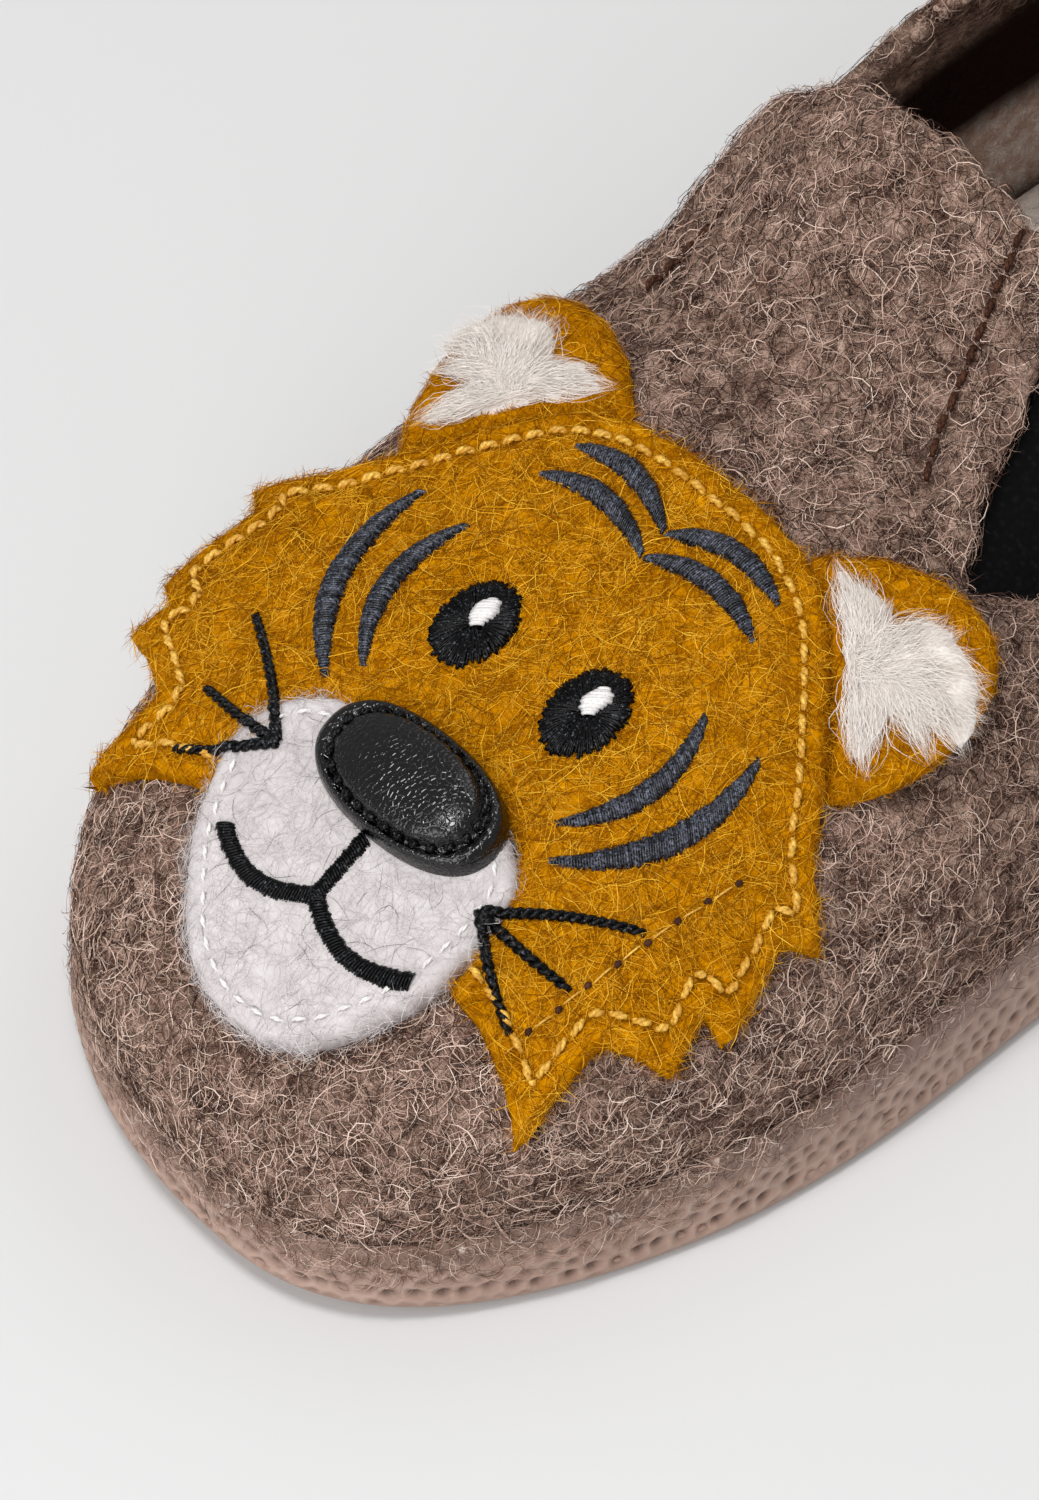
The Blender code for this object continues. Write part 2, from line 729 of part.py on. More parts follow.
EYE_MIDDLE = (7.3, 0.8)
EYE_HALF = (4.1, 4.7)
NOSE_MIDDLE = (0.0, -15.7)
NOSE_HALF = (10.4, 6.9)
NOSE_POWER = 2.3
PAD_ROUND = 24
NOSE_STEP_LOW = -11.0
NOSE_STEP_HIGH = -9.0
NOSE_GAP = 0.5


def face_lift(up):
    """Lift of what lies on the face: over the muzzle below its upper edge, over the head above it."""
    share = smooth((up - NOSE_STEP_LOW) / (NOSE_STEP_HIGH - NOSE_STEP_LOW))
    return NOSE_GAP + MUZZLE_TOP + (HEAD_TOP - MUZZLE_TOP) * float(share)


class Ring(NamedTuple):
    """One ring of a padded oval: share of its size and share of its height."""

    size: float
    height: float


EYE_RINGS = [Ring(1.0, 0.0), Ring(1.0, 0.5), Ring(0.88, 1.0)]
NOSE_RINGS = [
    Ring(0.4, 0.0), Ring(0.7, 0.0), Ring(0.97, 0.0), Ring(1.0, 0.22), Ring(0.97, 0.42), Ring(0.86, 0.50),
    Ring(0.74, 0.72), Ring(0.45, 0.94),
]


def build_pad(name, middle, half, rings, height, power, base, material):
    """Padded oval on the felt, built from rings and closed by a crown."""
    mesh_data = bmesh.new()
    loops = []
    for ring in rings:
        loop = []
        for k in range(PAD_ROUND):
            angle = 2 * math.pi * k / PAD_ROUND
            reach = (abs(math.cos(angle)) ** power + abs(math.sin(angle)) ** power) ** (-1.0 / power)
            across = middle[0] + half[0] * ring.size * reach * math.cos(angle)
            up = middle[1] + half[1] * ring.size * reach * math.sin(angle)
            loop.append(mesh_data.verts.new(on_felt(across, up, base(up) + height * ring.height)))
        loops.append(loop)
    for lower, upper in zip(loops, loops[1:]):
        join_rings(mesh_data, lower, upper)
    crown = mesh_data.verts.new(on_felt(middle[0], middle[1], base(middle[1]) + height))
    foot = mesh_data.verts.new(on_felt(middle[0], middle[1], base(middle[1])))
    for k in range(PAD_ROUND):
        after = (k + 1) % PAD_ROUND
        mesh_data.faces.new((loops[-1][k], loops[-1][after], crown))
        mesh_data.faces.new((loops[0][after], loops[0][k], foot))
    add_object(name, mesh_data, material)


MOUTH_STEM_TOP = -23.4
MOUTH_JOINT = -28.2
MOUTH_REACH = 11.4
MOUTH_DROP = 2.3
MOUTH_TIP_RISE = 0.3
MOUTH_HALF = 0.75
MOUTH_STEPS = 7
MOUTH_FLATTEN = 0.9


def mouth_outline():
    """Outline of the stem and the two arcs as one stroke."""
    lower = []
    upper = []
    for p in np.linspace(0.0, 1.0, MOUTH_STEPS):
        across = MOUTH_REACH * p
        middle = MOUTH_JOINT - MOUTH_DROP * math.sin(math.pi * p) ** MOUTH_FLATTEN - MOUTH_TIP_RISE * p
        lower.append((across, middle - MOUTH_HALF))
        upper.append((across, middle + MOUTH_HALF))
    stem = [(MOUTH_HALF, MOUTH_JOINT), (MOUTH_HALF, MOUTH_STEM_TOP)]
    half = lower + upper[:0:-1] + stem
    return half + [(-a, u) for a, u in reversed(half) if a > 0.0]


class EarPoint(NamedTuple):
    """One point of the ear's free edge: along the base, from the brow end, and out from the base."""

    along: float
    out: float


EAR_EDGE = [
    EarPoint(-11.6, 0.0), EarPoint(-11.1, 4.8), EarPoint(-9.4, 9.4), EarPoint(-6.6, 12.8),
    EarPoint(-3.0, 14.6), EarPoint(1.0, 14.2), EarPoint(4.8, 12.0), EarPoint(8.2, 8.6),
    EarPoint(10.8, 4.4), EarPoint(12.0, 0.0),
]
EAR_BASE_BROW = (13.1, 28.5)
EAR_BASE_CHEEK = (29.9, 12.3)
EAR_LIFT = math.radians(4.0)
EAR_CELL = 4.0
EAR_CELLS = 2
FUR_MIDDLE = EarPoint(1.0, 5.8)
FUR_HALF = EarPoint(7.6, 4.9)
FUR_HEIGHT = 3.0
FUR_LOCKS = 9
FUR_ROUND = 36
FUR_LOCK_REACH = 0.26
FUR_LOCK_MIDDLE = 0.5
FUR_SHARES = (1.0, 0.8, 0.5)
FUR_EDGE_HEIGHT = 0.25
FUR_LOCK_HEIGHT = 0.25


def ear_frame(side):
    """Base line of one ear with its directions out from the head and up from the felt."""
    middle = ((EAR_BASE_BROW[0] + EAR_BASE_CHEEK[0]) / 2, (EAR_BASE_BROW[1] + EAR_BASE_CHEEK[1]) / 2)
    run = (EAR_BASE_CHEEK[0] - EAR_BASE_BROW[0], EAR_BASE_CHEEK[1] - EAR_BASE_BROW[1])
    reach = math.hypot(*run)
    _, over, along, out = felt_frame(side * middle[0], middle[1])
    away = (-run[1] * side * over + run[0] * along) / reach
    lifted = math.cos(EAR_LIFT) * away + math.sin(EAR_LIFT) * out
    raised = math.cos(EAR_LIFT) * out - math.sin(EAR_LIFT) * away
    return lifted, raised


def ear_point(side, directions, along, out, height):
    """Point of an ear from its place along the base, out from it and above the felt."""
    lifted, raised = directions
    span = EAR_EDGE[-1].along - EAR_EDGE[0].along
    share = (along - EAR_EDGE[0].along) / span
    across = EAR_BASE_BROW[0] + (EAR_BASE_CHEEK[0] - EAR_BASE_BROW[0]) * share
    up = EAR_BASE_BROW[1] + (EAR_BASE_CHEEK[1] - EAR_BASE_BROW[1]) * share
    point, _, _, normal = felt_frame(side * across, up)
    return frame_point(*(point + normal * FELT_GAP + lifted * out + raised * height))


def build_ear(name, side, material):
    """Felt ear that stands off the vamp from its base at the head's edge."""
    directions = ear_frame(side)
    flat = bmesh.new()
    flat.faces.new([flat.verts.new((point.along, point.out, 0.0)) for point in EAR_EDGE])
    for step in range(-EAR_CELLS, EAR_CELLS + 1):
        geometry = flat.verts[:] + flat.edges[:] + flat.faces[:]
        place = (step * EAR_CELL, 0.0, 0.0)
        across = (1.0, 0.0, 0.0)
        bmesh.ops.bisect_plane(flat, geom=geometry, dist=CUT_TOLERANCE, plane_co=place, plane_no=across)
    mesh_data = bmesh.new()
    made = {}
    for vert in flat.verts:
        along, out, _ = vert.co
        bottom = mesh_data.verts.new(ear_point(side, directions, along, out, 0.0))
        made[vert] = (bottom, mesh_data.verts.new(ear_point(side, directions, along, out, EAR_THICKNESS)))
    for face in flat.faces:
        mesh_data.faces.new([made[v][0] for v in face.verts])
        mesh_data.faces.new([made[v][1] for v in face.verts])
    for e in flat.edges:
        if len(e.link_faces) == 1:
            first, second = e.verts
            mesh_data.faces.new((made[first][0], made[second][0], made[second][1], made[first][1]))
    flat.free()
    add_object(name, mesh_data, material)


def build_fur(name, side, material):
    """Pile inside one ear: a low dome whose edge and top are drawn out into locks."""
    directions = ear_frame(side)
    mesh_data = bmesh.new()
    floor = EAR_THICKNESS + GAP
    rings = []
    for share in FUR_SHARES:
        for height in (0.0, 1.0) if share == FUR_SHARES[0] else (1.0,):
            ring = []
            for k in range(FUR_ROUND):
                angle = 2 * math.pi * k / FUR_ROUND
                lock = abs(math.sin(FUR_LOCKS * angle / 2))
                reach = share * (1.0 + FUR_LOCK_REACH * (lock - FUR_LOCK_MIDDLE))
                along = FUR_MIDDLE.along + FUR_HALF.along * reach * math.cos(angle)
                out = FUR_MIDDLE.out + FUR_HALF.out * reach * math.sin(angle)
                dome = FUR_EDGE_HEIGHT + (1.0 - FUR_EDGE_HEIGHT) * math.sqrt(1.0 - share * share)
                top = FUR_HEIGHT * dome * (1.0 - FUR_LOCK_HEIGHT * (1.0 - lock))
                point = ear_point(side, directions, along, out, floor + height * top)
                ring.append(mesh_data.verts.new(point))
            rings.append(ring)
    for lower, upper in zip(rings, rings[1:]):
        join_rings(mesh_data, lower, upper)
    crown = mesh_data.verts.new(
        ear_point(side, directions, FUR_MIDDLE.along, FUR_MIDDLE.out, floor + FUR_HEIGHT)
    )
    foot = mesh_data.verts.new(ear_point(side, directions, FUR_MIDDLE.along, FUR_MIDDLE.out, floor))
    for k in range(FUR_ROUND):
        after = (k + 1) % FUR_ROUND
        mesh_data.faces.new((rings[-1][k], rings[-1][after], crown))
        mesh_data.faces.new((rings[0][after], rings[0][k], foot))
    add_object(name, mesh_data, material)


def build_face():
    """Appliqued face: mask, muzzle, nose, eyes, stripes, mouth and ears."""
    mustard = finish("mustard_felt", (0.50, 0.22, 0.01), 0.95)
    thread = finish("stripe_thread", (0.04, 0.045, 0.06), 0.45)
    black = finish("black_thread", (0.012, 0.012, 0.014), 0.5)
    pile = finish("white_pile", (0.83, 0.80, 0.77), 0.9)
    build_head(mustard)
    build_patch(
        "muzzle", mirrored(MUZZLE_HALF), even_lift(FELT_GAP), even_lift(MUZZLE_TOP),
        finish("muzzle_felt", (0.75, 0.70, 0.72), 0.95),
    )
    on_head = even_lift(HEAD_TOP + GAP)
    build_pad(
        "nose", NOSE_MIDDLE, NOSE_HALF, NOSE_RINGS, NOSE_HEIGHT, NOSE_POWER, face_lift,
        finish("black_leather", (0.02, 0.02, 0.022), 0.35),
    )
    build_patch(
        "mouth", mouth_outline(), even_lift(MUZZLE_TOP + GAP), even_lift(MUZZLE_TOP + GAP + THREAD), black,
    )
    for label, side in (("left", MEDIAL), ("right", LATERAL)):
        middle = (side * EYE_MIDDLE[0], EYE_MIDDLE[1])
        build_pad("eye_" + label, middle, EYE_HALF, EYE_RINGS, THREAD, 2.0, on_head, black)
        for stripe in STRIPES:
            outline = stripe_outline(stripe, side)
            top = even_lift(HEAD_TOP + GAP + THREAD)
            build_patch("stripe_" + stripe.name + "_" + label, outline, on_head, top, thread)
        build_ear("ear_" + label, side, mustard)
        build_fur("ear_fur_" + label, side, pile)


def main():
    """Build the slipper from the sole up."""
    clear_scene()
    build_outsole()
    build_insole()
    build_upper()
    elastic = finish("black_elastic", (0.01, 0.01, 0.012), 0.8)
    build_gusset("gusset_left", MEDIAL, elastic)
    build_gusset("gusset_right", LATERAL, elastic)
    build_face()


main()
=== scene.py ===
"""Looks of a child's felt slipper with an animal face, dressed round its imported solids.

Sizes are in millimetres unless a name ends in _m. The toe points to -Y, the heel to +Y, and +X is the
wearer's left.
"""

import logging
import math
from contextlib import contextmanager
from dataclasses import dataclass, field
from enum import Enum
from functools import cache
from typing import Callable, Iterator, NamedTuple, Optional, Sequence

import bpy
import numpy as np
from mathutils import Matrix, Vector
from mathutils.kdtree import KDTree


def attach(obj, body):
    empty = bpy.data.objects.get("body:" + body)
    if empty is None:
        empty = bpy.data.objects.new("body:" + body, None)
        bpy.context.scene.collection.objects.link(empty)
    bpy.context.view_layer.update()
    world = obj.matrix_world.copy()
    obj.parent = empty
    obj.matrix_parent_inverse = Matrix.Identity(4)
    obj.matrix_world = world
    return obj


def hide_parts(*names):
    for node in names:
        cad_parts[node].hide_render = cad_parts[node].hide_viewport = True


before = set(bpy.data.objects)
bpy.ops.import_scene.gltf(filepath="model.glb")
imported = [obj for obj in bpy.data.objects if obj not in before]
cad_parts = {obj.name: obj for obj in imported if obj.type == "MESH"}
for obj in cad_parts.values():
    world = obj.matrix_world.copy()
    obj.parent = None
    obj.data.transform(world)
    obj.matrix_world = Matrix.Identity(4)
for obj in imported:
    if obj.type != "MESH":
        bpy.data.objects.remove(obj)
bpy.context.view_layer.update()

MM = 0.001
SAME_PLACE_M = 1e-6
BODY = "root"
LOG = logging.getLogger("slipper")

Array = np.ndarray
Random = np.random.Generator
Piece = bpy.types.Object
Material = bpy.types.Material
Socket = bpy.types.NodeSocket
Colour = tuple[float, float, float]
Flat = tuple[float, float]
Lift = Callable[[Array], Array]
Keep = Callable[[Array, Array], Array]


def srgb(red: int, green: int, blue: int) -> Colour:
    """Turn a colour as seen on screen, 0 to 255, into linear light."""
    values = []
    for part in (red, green, blue):
        share = part / 255.0
        values.append(share / 12.92 if share <= 0.04045 else ((share + 0.055) / 1.055) ** 2.4)
    return (values[0], values[1], values[2])


def smooth(value: Array) -> Array:
    """Ease from 0 to 1 as the value goes from 0 to 1."""
    value = np.clip(value, 0.0, 1.0)
    return value * value * (3.0 - 2.0 * value)


def unit(vectors: Array) -> Array:
    """Scale vectors along the last axis to length 1."""
    return vectors / np.maximum(np.linalg.norm(vectors, axis=-1, keepdims=True), 1e-12)


def quarter_turn(flat: Array) -> Array:
    """Turn flat directions a quarter turn to the left."""
    return np.stack([-flat[..., 1], flat[..., 0]], axis=-1)


def walk(line: Array) -> Array:
    """Distances walked along a line of points, from 0 at its start."""
    steps = np.linalg.norm(np.diff(line, axis=0), axis=1)
    return np.concatenate([[0.0], np.cumsum(steps)])


def ring(outline: Array) -> Array:
    """Repeat an outline's first point at its end."""
    return np.vstack([outline, outline[:1]])


def dome(near: Array) -> Array:
    """Rise of a rounded edge, from 0 on the border to 1 where near is 1."""
    return np.sqrt(np.maximum(1.0 - (1.0 - near) ** 2, 0.0))


class Side(Enum):
    """Side of the shoe; the value is the sign of X."""

    LEFT = 1
    RIGHT = -1

    @property
    def label(self) -> str:
        """Word for the side in the names of pieces."""
        return self.name.lower()

    @property
    def flip(self) -> Array:
        """Factors that carry flat places of the left side to this one."""
        return np.array([self.value, 1.0])


class Section(NamedTuple):
    """One cross-section of the last, at a share of the length."""

    share: float
    axis: float
    lateral: float
    medial: float
    crest: float
    fullness: float
    swing: float


SECTIONS = [
    Section(0.00, 9.1, 46.4, 34.4, 28.6, 3.00, -6.0),
    Section(0.12, 2.0, 40.4, 40.7, 30.0, 3.00, -0.4),
    Section(0.22, 1.2, 39.9, 41.5, 33.2, 3.00, -0.8),
    Section(0.36, 0.4, 40.4, 42.0, 39.4, 2.60, -1.4),
    Section(0.48, 0.0, 38.2, 42.0, 47.0, 2.20, -3.4),
    Section(0.56, 0.0, 35.6, 39.4, 58.5, 2.00, -5.2),
    Section(0.63, 0.0, 34.2, 36.2, 66.0, 1.90, -5.4),
    Section(0.74, 0.0, 33.0, 32.8, 75.0, 1.85, -3.4),
    Section(0.86, 0.0, 31.6, 31.5, 81.0, 1.85, -1.2),
    Section(1.00, 0.0, 31.5, 31.5, 84.0, 1.85, 0.0),
]


def curve_through(xs: Sequence[float], ys: Sequence[float], x: Array) -> Array:
    """Read a smooth curve that passes through a table's points.

    Args:
        xs: Places of the table's rows, rising.
        ys: Values of the rows.
        x: Places to read.

    Returns:
        The values at x.
    """
    places = np.asarray(xs, float)
    values = np.asarray(ys, float)
    slope = np.gradient(values, places)
    x = np.clip(x, places[0], places[-1])
    i = np.clip(np.searchsorted(places, x, side="right") - 1, 0, len(places) - 2)
    span = places[i + 1] - places[i]
    p = (x - places[i]) / span
    start = values[i] * (1 + 2 * p) * (1 - p) ** 2 + slope[i] * span * p * (1 - p) ** 2
    end = values[i + 1] * p * p * (3 - 2 * p) + slope[i + 1] * span * p * p * (p - 1)
    return start + end


def rounding(distance: Array, reach: float, power: float) -> Array:
    """Share of the full width at a distance from a rounded end."""
    t = np.clip(1.0 - distance / reach, 0.0, 1.0)
    return np.maximum(1.0 - t ** power, 0.0) ** (1.0 / power)


@dataclass
class Last:
    """Shape of the shoe: plan outline, sole heights and the arched felt over it."""

    length: float = 196.0
    toe_round: dict = field(default_factory=lambda: {Side.RIGHT: 55.0, Side.LEFT: 65.0})
    toe_power: float = 2.28
    heel_round: float = 34.0
    heel_power: float = 2.25
    crest_round: float = 46.0
    crest_power: float = 2.2
    toe_lift: float = 2.5
    toe_lift_end: float = 30.0
    arch_lift: float = 2.2
    arch_start: float = 92.0
    arch_end: float = 138.0
    heel_lift: float = 0.8
    heel_lift_start: float = 184.0
    band_toe: float = 9.5
    band_side: float = 13.0
    band_rise_end: float = 95.0
    felt_inset: float = 1.2
    heel_lean: float = 4.0
    heel_lean_start: float = 140.0
    heel_lean_height: float = 40.0
    steps: int = 81

    def __post_init__(self) -> None:
        """Find the sideways middle that the origin lies under."""
        s = np.linspace(1.0, self.length - 1.0, 400)
        right = np.max(self.section("axis", s) + self.half_width(s, Side.LEFT))
        left = np.min(self.section("axis", s) - self.half_width(s, Side.RIGHT))
        self.middle = float(right + left) / 2

    def section(self, column: str, s: Array) -> Array:
        """Read one column of the sections at places along the shoe."""
        shares = [row.share for row in SECTIONS]
        values = [getattr(row, column) for row in SECTIONS]
        return curve_through(shares, values, np.asarray(s, float) / self.length)

    def half_width(self, s: Array, side: Side, inset: float = 0.0) -> Array:
        """Half width of the plan outline on one side, pulled in by the inset."""
        full = self.section("medial" if side is Side.LEFT else "lateral", s) - inset
        toe = rounding(s - inset, self.toe_round[side], self.toe_power)
        heel = rounding(self.length - inset - s, self.heel_round, self.heel_power)
        return full * toe * heel

    def underside(self, s: Array) -> Array:
        """Height of the sole's underside: toe spring, arch and the rounded heel."""
        toe = self.toe_lift * np.clip(1.0 - s / self.toe_lift_end, 0.0, 1.0) ** 2
        across = np.clip((s - self.arch_start) / (self.arch_end - self.arch_start), 0.0, 1.0)
        heel = np.clip((s - self.heel_lift_start) / (self.length - self.heel_lift_start), 0.0, 1.0)
        return toe + self.arch_lift * np.sin(math.pi * across) ** 2 + self.heel_lift * heel ** 2

    def band_top(self, s: Array) -> Array:
        """Height at which the sole's side band meets the felt."""
        share = smooth(np.asarray(s, float) / self.band_rise_end)
        return self.band_toe + (self.band_side - self.band_toe) * share

    def arch(self, s: Array, turn: Array) -> Array:
        """Points of the felt's outer face.

        Args:
            s: Places along the shoe from the toe tip.
            turn: -1 at the right feather line, 0 at the crest, 1 at the left feather line.

        Returns:
            Points with the shoe's own x, s and z.
        """
        s, turn = np.broadcast_arrays(np.asarray(s, float), np.asarray(turn, float))
        angle = np.abs(turn) * math.pi / 2
        right = self.half_width(s, Side.RIGHT, self.felt_inset)
        left = self.half_width(s, Side.LEFT, self.felt_inset)
        power = 2.0 / self.section("fullness", s)
        base = self.band_top(s)
        full = self.section("crest", s) - base
        top = full * rounding(s - self.felt_inset, self.crest_round, self.crest_power)
        share = np.maximum(np.cos(angle), 0.0) ** power
        rise = top * share
        x = np.sign(turn) * np.where(turn < 0, right, left) * np.sin(angle) ** power
        lean = self.heel_lean * smooth((s - self.heel_lean_start) / (self.length - self.heel_lean_start))
        y = s - lean * np.clip(rise / self.heel_lean_height, 0.0, None) ** 2
        swing = self.section("swing", s) * share
        return np.stack([self.section("axis", s) + x + swing, y, base + rise], axis=-1)

    def place(self, points: Array) -> Array:
        """Move points of the shoe into the part's frame, in metres."""
        return (points - np.array([self.middle, self.length / 2, 0.0])) * MM

    def outline(self, inset: float, spacing: float) -> tuple[Array, Array]:
        """Walk round the plan outline.

        Args:
            inset: Distance inside the sole's outline.
            spacing: Distance between points along the walk.

        Returns:
            Points (x, s) evenly spaced round the loop, and their outward directions.
        """
        turns = np.linspace(0.0, math.pi, 2000)
        s = inset + (self.length - 2 * inset) * (1.0 - np.cos(turns)) / 2
        left = np.stack([self.section("axis", s) + self.half_width(s, Side.LEFT, inset), s], axis=1)
        right = np.stack([self.section("axis", s) - self.half_width(s, Side.RIGHT, inset), s], axis=1)
        closed = ring(np.concatenate([left, right[::-1]]))
        walked = walk(closed)
        at = np.linspace(0.0, walked[-1], int(walked[-1] / spacing), endpoint=False)
        points = np.stack([np.interp(at, walked, closed[:, axis]) for axis in (0, 1)], axis=1)
        ahead = np.roll(points, -2, axis=0) - np.roll(points, 2, axis=0)
        return points, unit(np.stack([ahead[:, 1], -ahead[:, 0]], axis=1))


class FaceMap:
    """Flat millimetres, across from the crest and up from the line of the eyes, laid on the felt."""

    eye_line: float = 48.0
    throat: float = 109.0
    start: float = 1.35
    reach: float = 62.0
    step: float = 0.5

    def __init__(self, last: Last) -> None:
        """Work out a table of felt points over the vamp and the flap."""
        self.last = last
        s = np.linspace(self.start, self.throat, 900)
        crest = last.arch(s, np.zeros_like(s))
        walked = walk(crest)
        walked -= np.interp(self.eye_line, s, walked)
        self.walked = walked
        self.places = s
        self.up = np.arange(walked[0], walked[-1], self.step)
        self.across = np.arange(-self.reach, self.reach + self.step, self.step)
        ease = np.linspace(0.0, 1.0, last.steps)
        turns = ease - np.sin(2 * math.pi * ease) / (2 * math.pi)
        turns = np.concatenate([-turns[:0:-1], turns])
        rows = []
        for place in np.interp(self.up, walked, s):
            points = last.arch(place, turns)
            lengths = walk(points)
            lengths -= lengths[last.steps - 1]
            rows.append(last.arch(place, np.interp(self.across, lengths, turns)))
        self.points = np.array(rows)
        over = np.gradient(self.points, axis=1)
        along = np.gradient(self.points, axis=0)
        self.out = unit(np.cross(over, along))
        self.over = unit(over)
        self.tree: Optional[KDTree] = None

    def read(self, table: Array, flat: Array) -> Array:
        """Read a table between its points, at flat places."""
        column = np.clip((flat[..., 0] - self.across[0]) / self.step, 0, len(self.across) - 1.001)
        row = np.clip((flat[..., 1] - self.up[0]) / self.step, 0, len(self.up) - 1.001)
        c = column.astype(int)
        r = row.astype(int)
        p = (column - c)[..., None]
        q = (row - r)[..., None]
        low = table[r, c] * (1 - p) + table[r, c + 1] * p
        high = table[r + 1, c] * (1 - p) + table[r + 1, c + 1] * p
        return low * (1 - q) + high * q

    def lay(self, flat: Array, lift: Array) -> Array:
        """Lay flat places on the felt at a lift, in the part's frame, in metres."""
        points = self.read(self.points, flat) + self.normal(flat) * lift[..., None]
        return self.last.place(points)

    def normal(self, flat: Array) -> Array:
        """Directions out of the felt at flat places."""
        return unit(self.read(self.out, flat))

    def flatten(self, points_m: Array) -> tuple[Array, Array]:
        """Find the flat places nearest to points of the part's frame.

        Args:
            points_m: Points in metres.

        Returns:
            Flat places, across and up, and distances from the felt in millimetres.
        """
        if self.tree is None:
            placed = self.last.place(self.points).reshape(-1, 3)
            self.tree = KDTree(len(placed))
            for index, point in enumerate(placed):
                self.tree.insert(point, index)
            self.tree.balance()
        columns = len(self.across)
        found = [self.tree.find(point) for point in points_m]
        index = np.array([hit[1] for hit in found])
        flat = np.stack([self.across[index % columns], self.up[index // columns]], axis=1)
        return flat, np.array([hit[2] for hit in found]) / MM

    def up_at(self, s: float) -> float:
        """Distance up from the line of the eyes at a place along the shoe."""
        return float(np.interp(s, self.places, self.walked))


def inside(outline: Array, places: Array) -> Array:
    """Tell which flat places lie inside a closed outline."""
    x, y = places[:, 0][:, None], places[:, 1][:, None]
    ax, ay = outline[:, 0], outline[:, 1]
    bx, by = np.roll(ax, -1), np.roll(ay, -1)
    crosses = (ay > y) != (by > y)
    rise = np.where(np.abs(by - ay) < 1e-9, 1e-9, by - ay)
    return (np.sum(crosses & (x < (bx - ax) * (y - ay) / rise + ax), axis=1) % 2) == 1


def distance_to(line: Array, places: Array, closed: bool) -> Array:
    """Distance of flat places from a line of points."""
    start = line if closed else line[:-1]
    end = np.roll(line, -1, axis=0) if closed else line[1:]
    run = end - start
    reach = np.maximum(np.sum(run * run, axis=1), 1e-12)
    best = np.full(len(places), np.inf)
    for k in range(len(start)):
        t = np.clip((places - start[k]) @ run[k] / reach[k], 0.0, 1.0)
        best = np.minimum(best, np.linalg.norm(places - start[k] - t[:, None] * run[k], axis=1))
    return best


def trough(line: Array, places: Array, depth: float, width: float) -> Array:
    """Depth of a soft trough along a line, at flat places."""
    return depth * np.exp(-((distance_to(line, places, closed=False) / width) ** 2))


def evenly(line: Array, spacing: float) -> Array:
    """Points spread evenly along a line, both ends included."""
    walked = walk(line)
    at = np.linspace(0.0, walked[-1], max(int(round(walked[-1] / spacing)), 1) + 1)
    return np.stack([np.interp(at, walked, line[:, axis]) for axis in range(line.shape[1])], axis=1)


def evenly_round(outline: Array, spacing: float) -> Array:
    """Points spread evenly round a closed outline."""
    return evenly(ring(outline), spacing)[:-1]


def pulled_in(outline: Array, distance: float, limit: float = 1.7) -> Array:
    """Outline moved inwards by a distance, with its sharp points kept short."""
    following = np.roll(outline, -1, axis=0)
    area = np.sum(outline[:, 0] * following[:, 1] - following[:, 0] * outline[:, 1])
    before = unit(outline - np.roll(outline, 1, axis=0))
    after = unit(following - outline)
    turn = 1.0 if area > 0 else -1.0
    inward = unit(turn * quarter_turn(before + after))
    share = np.sum(inward * turn * quarter_turn(before), axis=1)
    return outline + inward * (distance / np.maximum(share, 1.0 / limit))[:, None]


def deselect_all() -> None:
    """Leave edit mode and clear the selection."""
    if bpy.context.object is not None and bpy.context.object.mode != "OBJECT":
        bpy.ops.object.mode_set(mode="OBJECT")
    bpy.ops.object.select_all(action="DESELECT")


def activate(piece: Piece) -> None:
    """Select one piece alone and make it the active one."""
    deselect_all()
    piece.select_set(True)
    bpy.context.view_layer.objects.active = piece


@contextmanager
def editing(piece: Piece) -> Iterator[None]:
    """Open a piece in edit mode with everything selected, and close it again."""
    activate(piece)
    bpy.ops.object.mode_set(mode="EDIT")
    bpy.ops.mesh.select_all(action="SELECT")
    yield
    bpy.ops.object.mode_set(mode="OBJECT")


def shade_smooth(piece: Piece) -> None:
    """Shade a piece smooth."""
    activate(piece)
    bpy.ops.object.shade_smooth()


def place_points(piece: Piece, points_m: Array) -> None:
    """Move the vertices of a piece to points in metres."""
    piece.data.vertices.foreach_set("co", np.ascontiguousarray(points_m, np.float32).ravel())
    piece.data.update()


def points_of(piece: Piece, key: str = "co") -> Array:
    """Read the vertices of a piece, in metres, or another vector that they hold."""
    values = np.empty(len(piece.data.vertices) * 3, np.float32)
    piece.data.vertices.foreach_get(key, values)
    return values.reshape(-1, 3).astype(float)


def normals_of(piece: Piece) -> Array:
    """Read the vertex normals of a piece."""
    return points_of(piece, "normal")


def just_added(name: str) -> Piece:
    """Name the piece that was added last."""
    piece = bpy.context.active_object
    piece.name = piece.data.name = name
    return piece


def add_grid(name: str, columns: int, rows: int) -> Piece:
    """Add a grid primitive with this many cells across and along."""
    deselect_all()
    bpy.ops.mesh.primitive_grid_add(x_subdivisions=columns, y_subdivisions=rows, size=1.0)
    return just_added(name)


def close_seams(piece: Piece) -> None:
    """Merge doubled points, turn the faces outwards and shade them smooth."""
    with editing(piece):
        bpy.ops.mesh.remove_doubles(threshold=SAME_PLACE_M)
        bpy.ops.mesh.normals_make_consistent(inside=False)
    shade_smooth(piece)


def apply_modifier(piece: Piece, kind: str, **values: object) -> None:
    """Add a modifier with its values and apply it."""
    activate(piece)
    bpy.ops.object.modifier_add(type=kind)
    modifier = piece.modifiers[-1]
    for key, value in values.items():
        setattr(modifier, key, value)
    bpy.ops.object.modifier_apply(modifier=modifier.name)


